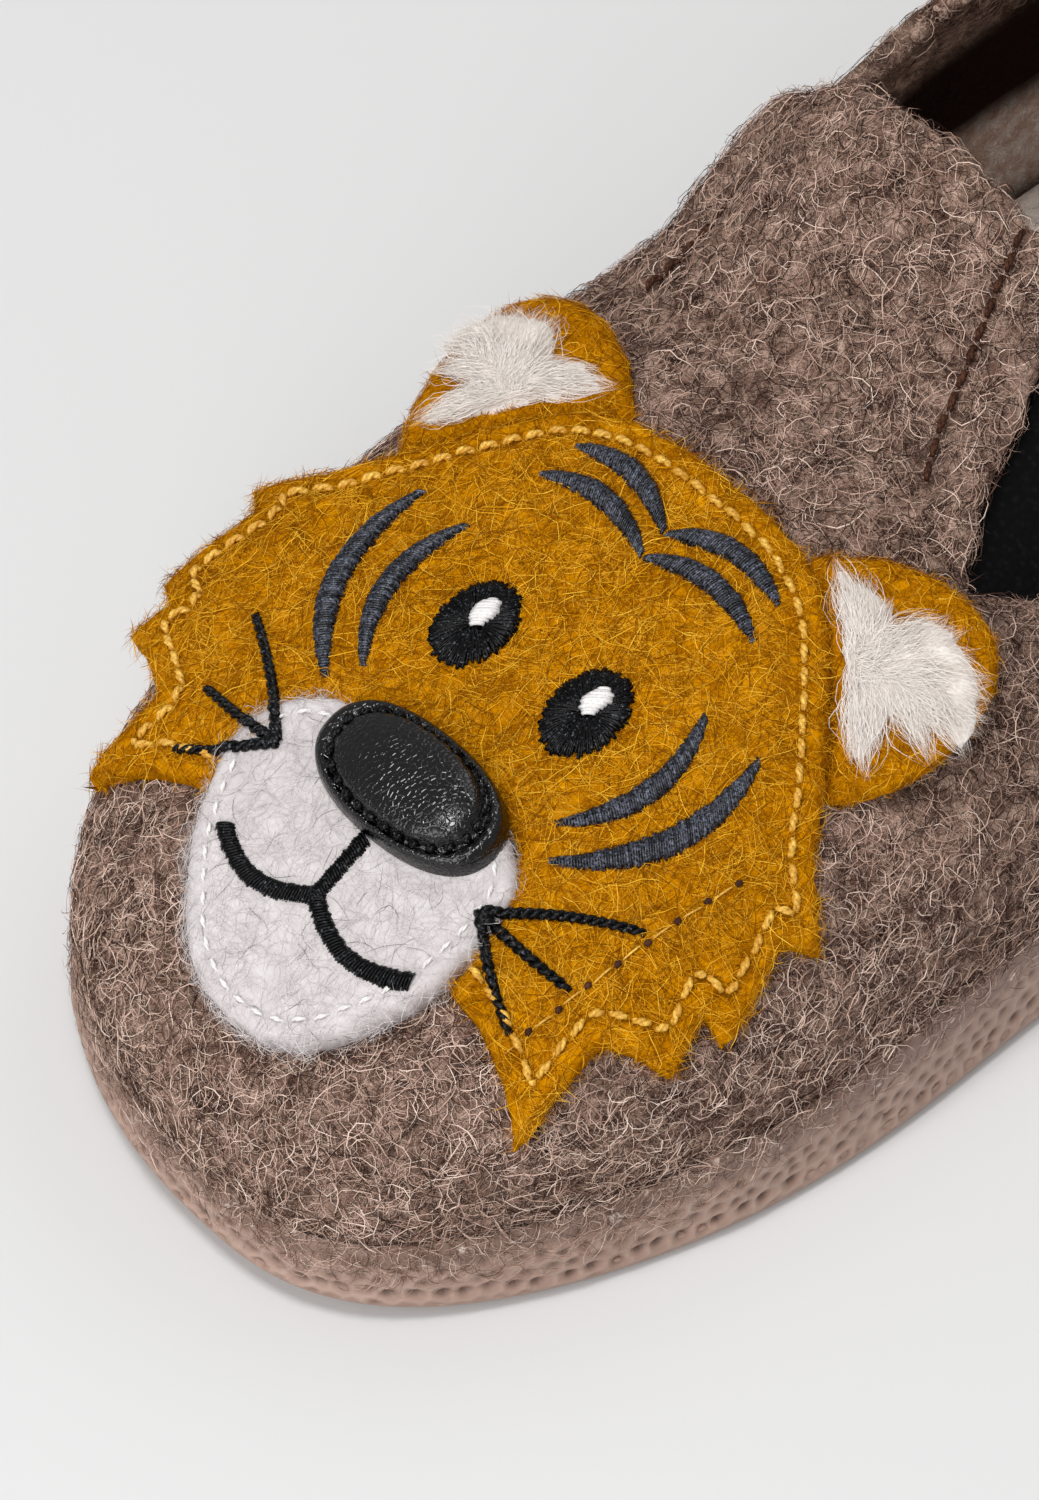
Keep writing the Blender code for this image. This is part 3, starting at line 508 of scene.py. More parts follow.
def rounded_copy(node: str, name: str, levels: int) -> Piece:
    """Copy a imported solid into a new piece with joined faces, rounded by subdivision.

    Args:
        node: Name of the solid.
        name: Name of the new piece.
        levels: How often its faces are divided.

    Returns:
        The piece, shaded smooth.
    """
    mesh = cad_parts[node].data.copy()
    mesh.name = name
    mesh.materials.clear()
    piece = bpy.data.objects.new(name, mesh)
    bpy.context.scene.collection.objects.link(piece)
    activate(piece)
    bpy.ops.mesh.customdata_custom_splitnormals_clear()
    with editing(piece):
        bpy.ops.mesh.remove_doubles(threshold=SAME_PLACE_M)
        bpy.ops.mesh.mark_sharp(clear=True)
        bpy.ops.mesh.tris_convert_to_quads()
    apply_modifier(piece, "SUBSURF", levels=levels, render_levels=levels)
    shade_smooth(piece)
    return piece


def lumps(piece: Piece, height: float, size: float) -> None:
    """Push a surface in and out in soft lumps of a height and size in millimetres."""
    texture = bpy.data.textures.new(piece.name + "_lumps", "CLOUDS")
    texture.noise_scale = size * MM
    texture.noise_depth = 2
    apply_modifier(
        piece, "DISPLACE", texture=texture, strength=height * MM, mid_level=0.5, texture_coords="LOCAL"
    )


def thicken(piece: Piece, out: Array, lump: float, lump_size: float, thickness: float) -> None:
    """Turn a laid sheet outwards, make it lumpy and give it its thickness.

    Args:
        piece: The sheet.
        out: Outward directions at its points.
        lump: Height of the lumps.
        lump_size: Size of the lumps.
        thickness: Thickness towards its underside.
    """
    if np.mean(np.sum(normals_of(piece) * out, axis=1)) < 0.0:
        with editing(piece):
            bpy.ops.mesh.flip_normals()
    lumps(piece, lump, lump_size)
    apply_modifier(piece, "SOLIDIFY", thickness=thickness * MM, offset=-1.0)
    shade_smooth(piece)


def cut_sheet(name: str, outline: Array, cell: float) -> Piece:
    """Cut a flat sheet to an outline and divide it into small cells.

    Args:
        name: Name of the piece.
        outline: Corners of the sheet in flat millimetres.
        cell: Size of a cell in millimetres.

    Returns:
        The sheet, flat in millimetres, ready to be laid on the felt.
    """
    deselect_all()
    bpy.ops.mesh.primitive_circle_add(vertices=len(outline), radius=1.0, fill_type="NGON")
    piece = just_added(name)
    place_points(piece, np.column_stack([outline, np.zeros(len(outline))]))
    bpy.ops.object.mode_set(mode="EDIT")
    for axis, normal in enumerate(np.eye(3)[:2]):
        low = math.ceil(outline[:, axis].min() / cell)
        high = math.floor(outline[:, axis].max() / cell)
        for step in range(low, high + 1):
            bpy.ops.mesh.select_all(action="SELECT")
            bpy.ops.mesh.bisect(plane_co=normal * (step * cell), plane_no=normal, threshold=1e-5)
    bpy.ops.object.mode_set(mode="OBJECT")
    return piece


class MeshPile:
    """Many small shapes gathered into one joined mesh, with a tint on every point."""

    def __init__(self) -> None:
        """Start with nothing."""
        self.points: list[Array] = []
        self.tints: list[Array] = []
        self.loops: list[Array] = []
        self.sizes: list[Array] = []
        self.count = 0

    def add(self, points_m: Array, faces: Sequence[Array], tints: Array) -> None:
        """Add shapes.

        Args:
            points_m: Points in metres.
            faces: Arrays of faces, each with one number of corners.
            tints: One tint for each point.
        """
        for corners in faces:
            self.loops.append((corners + self.count).ravel())
            self.sizes.append(np.full(len(corners), corners.shape[1]))
        self.points.append(points_m.reshape(-1, 3))
        self.tints.append(np.broadcast_to(tints, (len(self.points[-1]),)))
        self.count += len(self.points[-1])

    def ribbons(self, paths_m: Array, aside: Array, widths: Array, tints: Array) -> None:
        """Add flat fibres with pointed ends.

        Args:
            paths_m: Middle lines, fibre by point by axis, in metres.
            aside: Directions of the width, of the same shape.
            widths: Widths in millimetres, fibre by point.
            tints: One tint for each fibre.
        """
        count, steps, _ = paths_m.shape
        half = aside * (widths * MM / 2)[..., None]
        body = np.stack([paths_m - half, paths_m + half], axis=2)[:, 1:-1].reshape(count, -1, 3)
        points = np.concatenate([paths_m[:, :1], body, paths_m[:, -1:]], axis=1)
        size = points.shape[1]
        base = np.arange(count) * size
        first = base[:, None] + 1 + np.arange(steps - 3)[None, :] * 2
        quads = np.stack([first, first + 1, first + 3, first + 2], axis=-1).reshape(-1, 4)
        start = np.stack([base, base + 2, base + 1], axis=-1)
        end = np.stack([base + size - 3, base + size - 2, base + size - 1], axis=-1)
        self.add(points, [quads, start, end], np.repeat(tints, size))

    def tubes(
        self, paths_m: Array, normals: Array, radii: Array, tints: Array, sides: int = 5
    ) -> None:
        """Add round threads.

        Args:
            paths_m: Middle lines, thread by point by axis, in metres.
            normals: Directions out of the felt, of the same shape.
            radii: Radii in millimetres, thread by point.
            tints: One tint for each thread.
            sides: Number of sides of a thread.
        """
        count, steps, _ = paths_m.shape
        tangent = unit(np.gradient(paths_m, axis=1))
        aside = unit(np.cross(tangent, normals))
        raised = np.cross(aside, tangent)
        angle = 2 * math.pi * np.arange(sides) / sides
        out = aside[:, :, None] * np.cos(angle)[:, None] + raised[:, :, None] * np.sin(angle)[:, None]
        points = paths_m[:, :, None] + out * (radii * MM)[:, :, None, None]
        base = (np.arange(count) * steps * sides)[:, None, None]
        row = np.arange(steps - 1)[None, :, None] * sides
        k = np.arange(sides)[None, None, :]
        after = (k + 1) % sides
        quads = np.stack(np.broadcast_arrays(
            base + row + k, base + row + after, base + row + sides + after, base + row + sides + k
        ), axis=-1).reshape(-1, 4)
        start = base[:, :, 0] + np.arange(sides)[::-1][None, :]
        end = base[:, :, 0] + (steps - 1) * sides + np.arange(sides)[None, :]
        self.add(points, [quads, start, end], np.repeat(tints, steps * sides))

    def make(self, name: str) -> Piece:
        """Make one object of everything that was added."""
        mesh = bpy.data.meshes.new(name)
        points = np.concatenate(self.points).astype(np.float32)
        loops = np.concatenate(self.loops).astype(np.int32)
        sizes = np.concatenate(self.sizes).astype(np.int32)
        mesh.vertices.add(len(points))
        mesh.vertices.foreach_set("co", points.ravel())
        mesh.loops.add(len(loops))
        mesh.loops.foreach_set("vertex_index", loops)
        mesh.polygons.add(len(sizes))
        mesh.polygons.foreach_set("loop_start", np.concatenate([[0], np.cumsum(sizes)[:-1]]).astype(np.int32))
        mesh.update(calc_edges=True)
        tint = mesh.attributes.new("tint", "FLOAT", "POINT")
        tint.data.foreach_set("value", np.concatenate(self.tints).astype(np.float32))
        mesh.shade_smooth()
        piece = bpy.data.objects.new(name, mesh)
        bpy.context.scene.collection.objects.link(piece)
        return piece


def set_attribute(piece: Piece, name: str, values: Array) -> None:
    """Store one number on every vertex of a piece."""
    mesh = piece.data
    store = mesh.attributes.get(name) or mesh.attributes.new(name, "FLOAT", "POINT")
    store.data.foreach_set("value", np.asarray(values, np.float32))


class Shader:
    """Node tree of one material, put together step by step."""

    def __init__(self, name: str) -> None:
        """Start a material with its main shader and object coordinates."""
        self.material = bpy.data.materials.new(name)
        self.material.use_nodes = True
        self.tree = self.material.node_tree
        self.main = self.tree.nodes["Principled BSDF"]
        self.coords = self.tree.nodes.new("ShaderNodeTexCoord").outputs["Object"]

    def link(self, source: Socket, target: Socket) -> None:
        """Connect two sockets."""
        self.tree.links.new(source, target)

    def feed(self, value: object, target: Socket) -> None:
        """Give a socket a number, a colour or another socket's output."""
        if isinstance(value, Socket):
            self.link(value, target)
        else:
            target.default_value = (*value, 1.0) if isinstance(value, tuple) else value

    def node(self, kind: str, **inputs: object) -> bpy.types.Node:
        """Add a node and feed its inputs, in whose names _ stands for a space."""
        node = self.tree.nodes.new("ShaderNode" + kind)
        for key, value in inputs.items():
            self.feed(value, node.inputs[key.replace("_", " ")])
        return node

    def noise(
        self, scale: float, detail: float = 2.0, distortion: float = 0.0, offset: float = 0.0
    ) -> Socket:
        """Cloudy noise, with its scale in bumps to the metre."""
        moved = self.node("Mapping", Vector=self.coords)
        moved.inputs["Location"].default_value = (offset, offset * 0.7, -offset)
        place = moved.outputs["Vector"]
        node = self.node("TexNoise", Vector=place, Scale=scale, Detail=detail, Distortion=distortion)
        return node.outputs["Fac"]

    def cells(self, scale: float, feature: str = "F1") -> Socket:
        """Cell pattern: distance from the cells' middles or edges."""
        node = self.node("TexVoronoi", Vector=self.coords, Scale=scale)
        node.feature = feature
        return node.outputs["Distance"]

    def math(
        self, operation: str, first: Socket, second: object = None
    ) -> Socket:
        """Combine a socket with a number or another socket."""
        node = self.node("Math")
        node.operation = operation
        self.link(first, node.inputs[0])
        if second is not None:
            self.feed(second, node.inputs[1])
        return node.outputs["Value"]

    def band(self, value: Socket, low: float, high: float) -> Socket:
        """Ease from 0 to 1 between two values, or back where low is above high."""
        node = self.node("MapRange", Value=value, From_Min=min(low, high), From_Max=max(low, high))
        node.interpolation_type = "SMOOTHSTEP"
        node.inputs["To Min"].default_value = 0.0 if low < high else 1.0
        node.inputs["To Max"].default_value = 1.0 if low < high else 0.0
        return node.outputs["Result"]

    def fibre_lines(self, scale: float, width: float, offset: float) -> Socket:
        """Thin curling lines, as of fibres in a mat."""
        cloud = self.noise(scale, detail=0.0, distortion=0.8, offset=offset)
        apart = self.math("ABSOLUTE", self.math("SUBTRACT", cloud, 0.5))
        return self.band(apart, width, 0.0)

    def ramp(
        self, value: Socket, stops: Sequence[tuple[float, Colour]]
    ) -> Socket:
        """Colours along a value."""
        node = self.node("ValToRGB", Fac=value)
        elements = node.color_ramp.elements
        while len(elements) < len(stops):
            elements.new(0.5)
        for element, (place, colour) in zip(elements, stops):
            element.position = place
            element.color = (*colour, 1.0)
        return node.outputs["Color"]

    def mix(self, share: object, first: object, second: object, blend: str = "MIX") -> Socket:
        """Mix two colours, each a socket or a fixed colour."""
        node = self.node("Mix")
        node.data_type = "RGBA"
        node.blend_type = blend
        for value, place in ((share, 0), (first, 6), (second, 7)):
            self.feed(value, node.inputs[place])
        return node.outputs[2]

    def attribute(self, name: str) -> Socket:
        """Number stored on the mesh."""
        node = self.node("Attribute")
        node.attribute_name = name
        return node.outputs["Fac"]

    def bump(self, height: Socket, strength: float, distance: float) -> None:
        """Give the surface fine relief; calls add up."""
        node = self.node("Bump", Height=height, Strength=strength, Distance=distance * MM)
        normal = self.main.inputs["Normal"]
        if normal.is_linked:
            self.link(normal.links[0].from_socket, node.inputs["Normal"])
        self.link(node.outputs["Normal"], normal)

    def set(self, **values: object) -> None:
        """Set sockets of the main shader: a number, a colour or another socket."""
        for key, value in values.items():
            self.feed(value, self.main.inputs[key.replace("_", " ").title().replace("Ior", "IOR")])


@dataclass(frozen=True)
class Finish:
    """Look of one material; each kind paints its own."""

    name: str

    @cache
    def material(self) -> Material:
        """Build the material, once."""
        shader = Shader(self.name)
        self.paint(shader)
        return shader.material

    def paint(self, shader: Shader) -> None:
        """Leave the main shader as it is."""


@dataclass(frozen=True)
class FeltFinish(Finish):
    """Matted wool: a mottled ground with light and dark fibres curling over it."""

    deep: Colour
    ground: Colour
    light: Colour
    fibre_scale: float = 800.0
    light_share: float = 0.75
    dark_share: float = 0.6
    mottle: float = 0.5
    relief: float = 0.5
    # Pale lining colour of the inside, partly painted light on the lower inside.
    lining: Optional[Colour] = None

    def paint(self, shader: Shader) -> None:
        """Set the colour, the shine and the relief."""
        patches = shader.noise(140.0, detail=2.0)
        hollows = shader.noise(520.0, detail=2.0, offset=0.23)
        colour = shader.ramp(hollows, [(0.3, self.deep), (0.5, self.ground), (0.72, self.light)])
        shade = shader.mix(shader.band(patches, 0.35, 0.65), self.deep, self.light)
        colour = shader.mix(self.mottle * 0.45, colour, shade)
        relief = hollows
        layers = [
            (0.9, 0.045, 0.11, self.deep, self.dark_share),
            (1.5, 0.045, 0.37, self.light, self.light_share * 0.8),
            (1.2, 0.040, 0.61, self.deep, self.dark_share * 0.8),
            (1.0, 0.032, 0.71, self.light, self.light_share),
            (1.9, 0.050, 0.53, self.light, self.light_share * 0.7),
        ]
        for times, width, offset, tone, share in layers:
            lines = shader.fibre_lines(self.fibre_scale * times, width, offset)
            colour = shader.mix(shader.math("MULTIPLY", lines, share), colour, tone)
            rise = 0.45 if tone is self.light else -0.25
            relief = shader.math("ADD", relief, shader.math("MULTIPLY", lines, rise))
        # Inside the shoe: the wall's upper part gets painted shade and its lower part the pale lining colour,
        # which is partly painted light.
        if self.lining is not None:
            inner = shader.mix(shader.band(hollows, 0.3, 0.7), self.lining, self.light)
            # Painted shade: the inside below the collar's rim is painted in the deep colour.
            colour = shader.mix(shader.attribute("pocket"), colour, self.deep)
            colour = shader.mix(shader.attribute("lining"), colour, inner)
        shader.set(base_color=colour, roughness=0.95, specular_ior_level=0.02)
        shader.bump(relief, self.relief, 0.4)


@dataclass(frozen=True)
class FibreFinish(Finish):
    """Loose fibres whose shade follows the tint stored on them."""

    stops: tuple[tuple[float, Colour], ...]
    roughness: float = 0.75
    gloss: float = 0.06

    def paint(self, shader: Shader) -> None:
        """Set the colour and the shine."""
        grain = shader.noise(2500.0, detail=1.0)
        colour = shader.ramp(shader.attribute("tint"), self.stops)
        shaded = shader.mix(shader.band(grain, 0.3, 0.7), colour, (0.55, 0.55, 0.55), "MULTIPLY")
        colour = shader.mix(0.25, colour, shaded)
        shader.set(base_color=colour, roughness=self.roughness, specular_ior_level=self.gloss)


@dataclass(frozen=True)
class ThreadFinish(Finish):
    """Twisted or satin thread with a soft shine along it and painted highlights: glints painted into its
    colour.
    """

    dark: Colour
    # Colour of the painted highlights.
    light: Colour
    roughness: float = 0.42
    gloss: float = 0.45
    painted_glints: Flat = (0.2, 0.8)

    def paint(self, shader: Shader) -> None:
        """Set the colour with its painted highlights, the shine and the relief."""
        fine = shader.noise(3800.0, detail=2.0, distortion=0.6)
        # Painted highlights: sparse spots of the light colour where the fine noise falls in the glint band,
        # scaled by each thread's tint.
        share = shader.math("MULTIPLY", shader.attribute("tint"), shader.band(fine, *self.painted_glints))
        colour = shader.mix(share, self.dark, self.light)
        shader.set(base_color=colour, roughness=self.roughness, specular_ior_level=self.gloss)
        shader.bump(fine, 0.35, 0.08)


@dataclass(frozen=True)
class LatexFinish(Finish):
    """Brown latex over a knit: ridges painted pale and dimples painted dark as painted light and shade, and a
    glossier top edge with painted glints.
    """

    dark: Colour
    middle: Colour
    pale: Colour
    # Colour of the painted glints on the glossy top edge.
    painted_glint_colour: Colour
    knitted: bool = True

    def paint(self, shader: Shader) -> None:
        """Set the colour, the shine and the relief."""
        cloud = shader.noise(170.0, detail=4.0)
        fine = shader.noise(900.0, detail=3.0, distortion=0.4)
        # The stored knit tone carries painted light on the ridges and painted shade in the dimples.
        ridge = shader.attribute("ridge") if self.knitted else fine
        tone = shader.ramp(ridge, [(0.05, self.dark), (0.45, self.middle), (0.95, self.pale)])
        worn = shader.mix(shader.band(cloud, 0.35, 0.7), tone, self.middle)
        colour = shader.mix(0.4, tone, worn)
        zone = shader.attribute("top_zone")
        colour = shader.mix(shader.math("MULTIPLY", zone, 0.35), colour, self.dark)
        # Painted highlights: pale specks scattered over the glossy top edge.
        painted_glint_specks = shader.band(shader.noise(620.0, detail=1.0, offset=0.4), 0.68, 0.74)
        colour = shader.mix(shader.math("MULTIPLY", painted_glint_specks, zone), colour, self.painted_glint_colour)
        rough = shader.math("ADD", shader.math("MULTIPLY", fine, 0.25), 0.42)
        rough = shader.math("SUBTRACT", rough, shader.math("MULTIPLY", zone, 0.16))
        shader.set(base_color=colour, roughness=rough, specular_ior_level=0.5,
                   subsurface_weight=0.06, subsurface_scale=0.002)
        shader.bump(fine, 0.25, 0.25)


@dataclass(frozen=True)
class LeatherFinish(Finish):
    """Black grained leather with a soft shine."""

    dark: Colour
    worn: Colour

    def paint(self, shader: Shader) -> None:
        """Set the colour, the shine and the relief."""
        pebbles = shader.cells(1900.0, "DISTANCE_TO_EDGE")
        crease = shader.band(pebbles, 0.0, 0.22)
        fine = shader.noise(2600.0, detail=2.0)
        colour = shader.mix(shader.band(shader.noise(300.0), 0.45, 0.8), self.dark, self.worn)
        rough = shader.math("ADD", shader.math("MULTIPLY", fine, 0.1), 0.12)
        shader.set(base_color=colour, roughness=rough, specular_ior_level=0.6)
        shader.bump(crease, 0.4, 0.1)
        shader.bump(fine, 0.2, 0.06)


@dataclass(frozen=True)
class ElasticFinish(Finish):
    """Black woven elastic with fine ribs, their crests painted lighter as a painted highlight."""

    dark: Colour
    light: Colour

    def paint(self, shader: Shader) -> None:
        """Set the colour, the shine and the relief."""
        rib = shader.attribute("rib")
        weave = shader.cells(1400.0)
        # Painted highlight: the raised rib crests, at the middles of the weave cells, take the lighter
        # colour.
        colour = shader.mix(shader.math("MULTIPLY", rib, shader.band(weave, 0.6, 0.1)), self.dark, self.light)
        shader.set(base_color=colour, roughness=0.8, specular_ior_level=0.1)
        shader.bump(weave, 0.5, 0.2)


@dataclass(frozen=True)
class FloorFinish(Finish):
    """Plain pale studio floor."""

    colour: Colour

    def paint(self, shader: Shader) -> None:
        """Set the colour and the shine."""
        tone = shader.noise(3.0, detail=1.0)
        lighter = tuple(min(part * 1.01, 1.0) for part in self.colour)
        shader.set(base_color=shader.mix(tone, self.colour, lighter), roughness=0.9, specular_ior_level=0.1)


class Finishes:
    """Every finish of the slipper."""

    wool = FeltFinish(
        "boiled_wool", srgb(38, 23, 18), srgb(116, 86, 74), srgb(208, 177, 159),
        lining=srgb(236, 222, 211), relief=0.8,
    )
    wool_fibres = FibreFinish("wool_fibres", (
        (0.0, srgb(32, 18, 14)), (0.3, srgb(88, 62, 52)), (0.55, srgb(152, 121, 106)),
        (0.8, srgb(216, 185, 168)), (1.0, srgb(248, 225, 210)),
    ))
    footbed = FeltFinish(
        "footbed_felt", srgb(186, 168, 156), srgb(222, 208, 197), srgb(242, 232, 223), relief=0.35,
        light_share=0.5, dark_share=0.35,
    )
    mustard = FeltFinish(
        "mustard_felt", srgb(142, 82, 0), srgb(192, 124, 0), srgb(222, 152, 0), fibre_scale=1100.0,
        light_share=0.55, dark_share=0.5, relief=0.3, mottle=0.25,
    )
    mustard_fibres = FibreFinish("mustard_fibres", (
        (0.0, srgb(98, 48, 0)), (0.3, srgb(162, 98, 0)), (0.7, srgb(214, 145, 0)),
        (1.0, srgb(250, 198, 62)),
    ))
    muzzle = FeltFinish(
        "muzzle_felt", srgb(195, 188, 188), srgb(205, 198, 198), srgb(219, 213, 213), fibre_scale=900.0,
        light_share=0.5, dark_share=0.25, relief=0.1, mottle=0.2,
    )
    muzzle_fibres = FibreFinish("muzzle_fibres", (
        (0.0, srgb(58, 52, 54)), (0.06, srgb(120, 112, 114)), (0.1, srgb(194, 187, 187)),
        (1.0, srgb(228, 223, 222)),
    ))
    pile = FibreFinish("white_pile", (
        (0.0, srgb(196, 182, 171)), (0.4, srgb(228, 217, 208)), (1.0, srgb(248, 242, 236)),
    ), roughness=0.6)
    # In the thread finishes the second colour is the colour of the painted highlights.
    stripe = ThreadFinish(
        "stripe_thread", srgb(6, 7, 12), srgb(122, 128, 145),
        roughness=0.26, gloss=0.35, painted_glints=(0.36, 0.8),
    )
    black_thread = ThreadFinish(
        "black_thread", srgb(1, 1, 2), srgb(118, 122, 130),
        roughness=0.34, gloss=0.16, painted_glints=(0.55, 0.82),
    )
    white_thread = ThreadFinish("white_thread", srgb(218, 214, 213), srgb(253, 252, 250))
    gold_thread = ThreadFinish("gold_thread", srgb(186, 122, 10), srgb(255, 214, 98), roughness=0.3)
    brown_thread = ThreadFinish(
        "brown_thread", srgb(34, 18, 13), srgb(104, 66, 48), roughness=0.6, gloss=0.1
    )
    latex = LatexFinish(
        "latex", srgb(78, 53, 43), srgb(154, 126, 112), srgb(188, 161, 147), srgb(226, 208, 196)
    )
    sole = LatexFinish(
        "sole_latex", srgb(126, 97, 84), srgb(160, 130, 116), srgb(186, 158, 143), srgb(210, 190, 177),
        knitted=False,
    )
    leather = LeatherFinish("nose_leather", srgb(1, 1, 2), srgb(5, 5, 7))
    elastic = ElasticFinish("woven_elastic", srgb(2, 2, 3), srgb(16, 16, 18))
    floor = FloorFinish("pale_floor", srgb(219, 219, 219))


def dress(
    piece: Piece, finish: Finish, replaces: Sequence[str] = ()
) -> Piece:
    """Give a finished piece its material and hand it to the frame.

    Args:
        piece: The finished piece.
        finish: Its finish.
        replaces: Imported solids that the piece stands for.

    Returns:
        The same piece.
    """
    piece.data.materials.clear()
    piece.data.materials.append(finish.material())
    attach(piece, BODY)
    if replaces:
        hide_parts(*replaces)
    corners = sum(len(face.vertices) - 2 for face in piece.data.polygons)
    LOG.info("%s: %d triangles", piece.name, corners)
    return piece


@dataclass(frozen=True)
class FuzzKind:
    """How the loose fibres of one felt lie."""

    length: Flat
    curl_radius: Flat
    lift: float
    width: Flat
    points: int = 8
    stray: float = 0.12
    wander: float = 0.28
    roll: float = 0.7
    roll_change: float = 0.25


class Fuzz:
    """Loose fibres grown from the surface of a piece."""

    def __init__(self, piece: Piece, seed: int) -> None:
        """Read the surface as triangles."""
        mesh = piece.data
        mesh.calc_loop_triangles()
        corners = np.empty(len(mesh.loop_triangles) * 3, np.int32)
        mesh.loop_triangles.foreach_get("vertices", corners)
        self.corners = corners.reshape(-1, 3)
        self.points = points_of(piece)
        self.normals = normals_of(piece)
        self.rng = np.random.default_rng(seed)

    def roots(
        self, count: int, keep: Optional[Keep] = None
    ) -> tuple[Array, Array]:
        """Choose places on the surface, evenly by area.

        Args:
            count: Number of places.
            keep: Test on the middles and normals of the triangles.

        Returns:
            Points in metres and the normals there.
        """
        shape = self.points[self.corners]
        middles = shape.mean(axis=1)
        facing = unit(self.normals[self.corners].mean(axis=1))
        areas = np.linalg.norm(np.cross(shape[:, 1] - shape[:, 0], shape[:, 2] - shape[:, 0]), axis=1)
        if keep is not None:
            areas = areas * keep(middles, facing)
        chosen = self.rng.choice(len(areas), size=count, p=areas / areas.sum())
        a, b = self.rng.random(count), self.rng.random(count)
        flip = a + b > 1
        a, b = np.where(flip, 1 - a, a), np.where(flip, 1 - b, b)
        share = np.stack([1 - a - b, a, b], axis=1)[:, :, None]
        normals = unit((self.normals[self.corners[chosen]] * share).sum(axis=1))
        return (shape[chosen] * share).sum(axis=1), normals

    def grow(
        self, name: str, roots: Array, normals: Array, kind: FuzzKind, tints: Array
    ) -> Piece:
        """Grow curling fibres at the roots.

        Args:
            name: Name of the piece.
            roots: Points in metres.
            normals: Directions out of the felt.
            kind: How the fibres lie.
            tints: One tint for each fibre.

        Returns:
            The fibres as one piece.
        """
        rng = self.rng
        count = len(roots)
        steps = kind.points
        upright = np.abs(normals[:, 2:3]) < 0.9
        first = unit(np.cross(normals, np.where(upright, [[0.0, 0.0, 1.0]], [[1.0, 0.0, 0.0]])))
        second = np.cross(normals, first)
        length = rng.uniform(*kind.length, count) * MM
        radius = rng.uniform(*kind.curl_radius, count) * MM
        bend = rng.choice([-1.0, 1.0], count) * length / radius / (steps - 1)
        wander = np.cumsum(rng.normal(0.0, kind.wander, (count, steps)), axis=1)
        heading = rng.uniform(0.0, 2 * math.pi, count)[:, None] + bend[:, None] * np.arange(steps) + wander
        step = (length / (steps - 1))[:, None]
        x = np.cumsum(np.cos(heading) * step, axis=1)
        y = np.cumsum(np.sin(heading) * step, axis=1)
        x -= x.mean(axis=1, keepdims=True)
        y -= y.mean(axis=1, keepdims=True)
        t = np.linspace(0.0, 1.0, steps)
        tall = kind.lift * MM * rng.random(count) ** 1.6
        rise = tall[:, None] * np.sin(math.pi * t)[None, :] ** 0.8
        stray = rng.random(count) < kind.stray
        rise += np.where(stray, rng.uniform(0.4, 1.4, count) * kind.lift * MM, 0.0)[:, None] * t[None, :] ** 2
        rise += 0.03 * MM
        paths = roots[:, None] + first[:, None] * x[..., None] + second[:, None] * y[..., None]
        paths = paths + normals[:, None] * rise[..., None]
        tangent = unit(np.gradient(paths, axis=1))
        aside = unit(np.cross(normals[:, None], tangent))
        twist = rng.normal(0.0, kind.roll, (count, 1))
        twist = twist + np.cumsum(rng.normal(0.0, kind.roll_change, (count, steps)), axis=1)
        aside = aside * np.cos(twist)[..., None] + normals[:, None] * np.sin(twist)[..., None]
        taper = 0.45 + 0.55 * np.sin(math.pi * (0.08 + 0.84 * t))
        widths = rng.uniform(*kind.width, count)[:, None] * taper[None, :]
        pile = MeshPile()
        pile.ribbons(paths, aside, widths, tints)
        return pile.make(name)


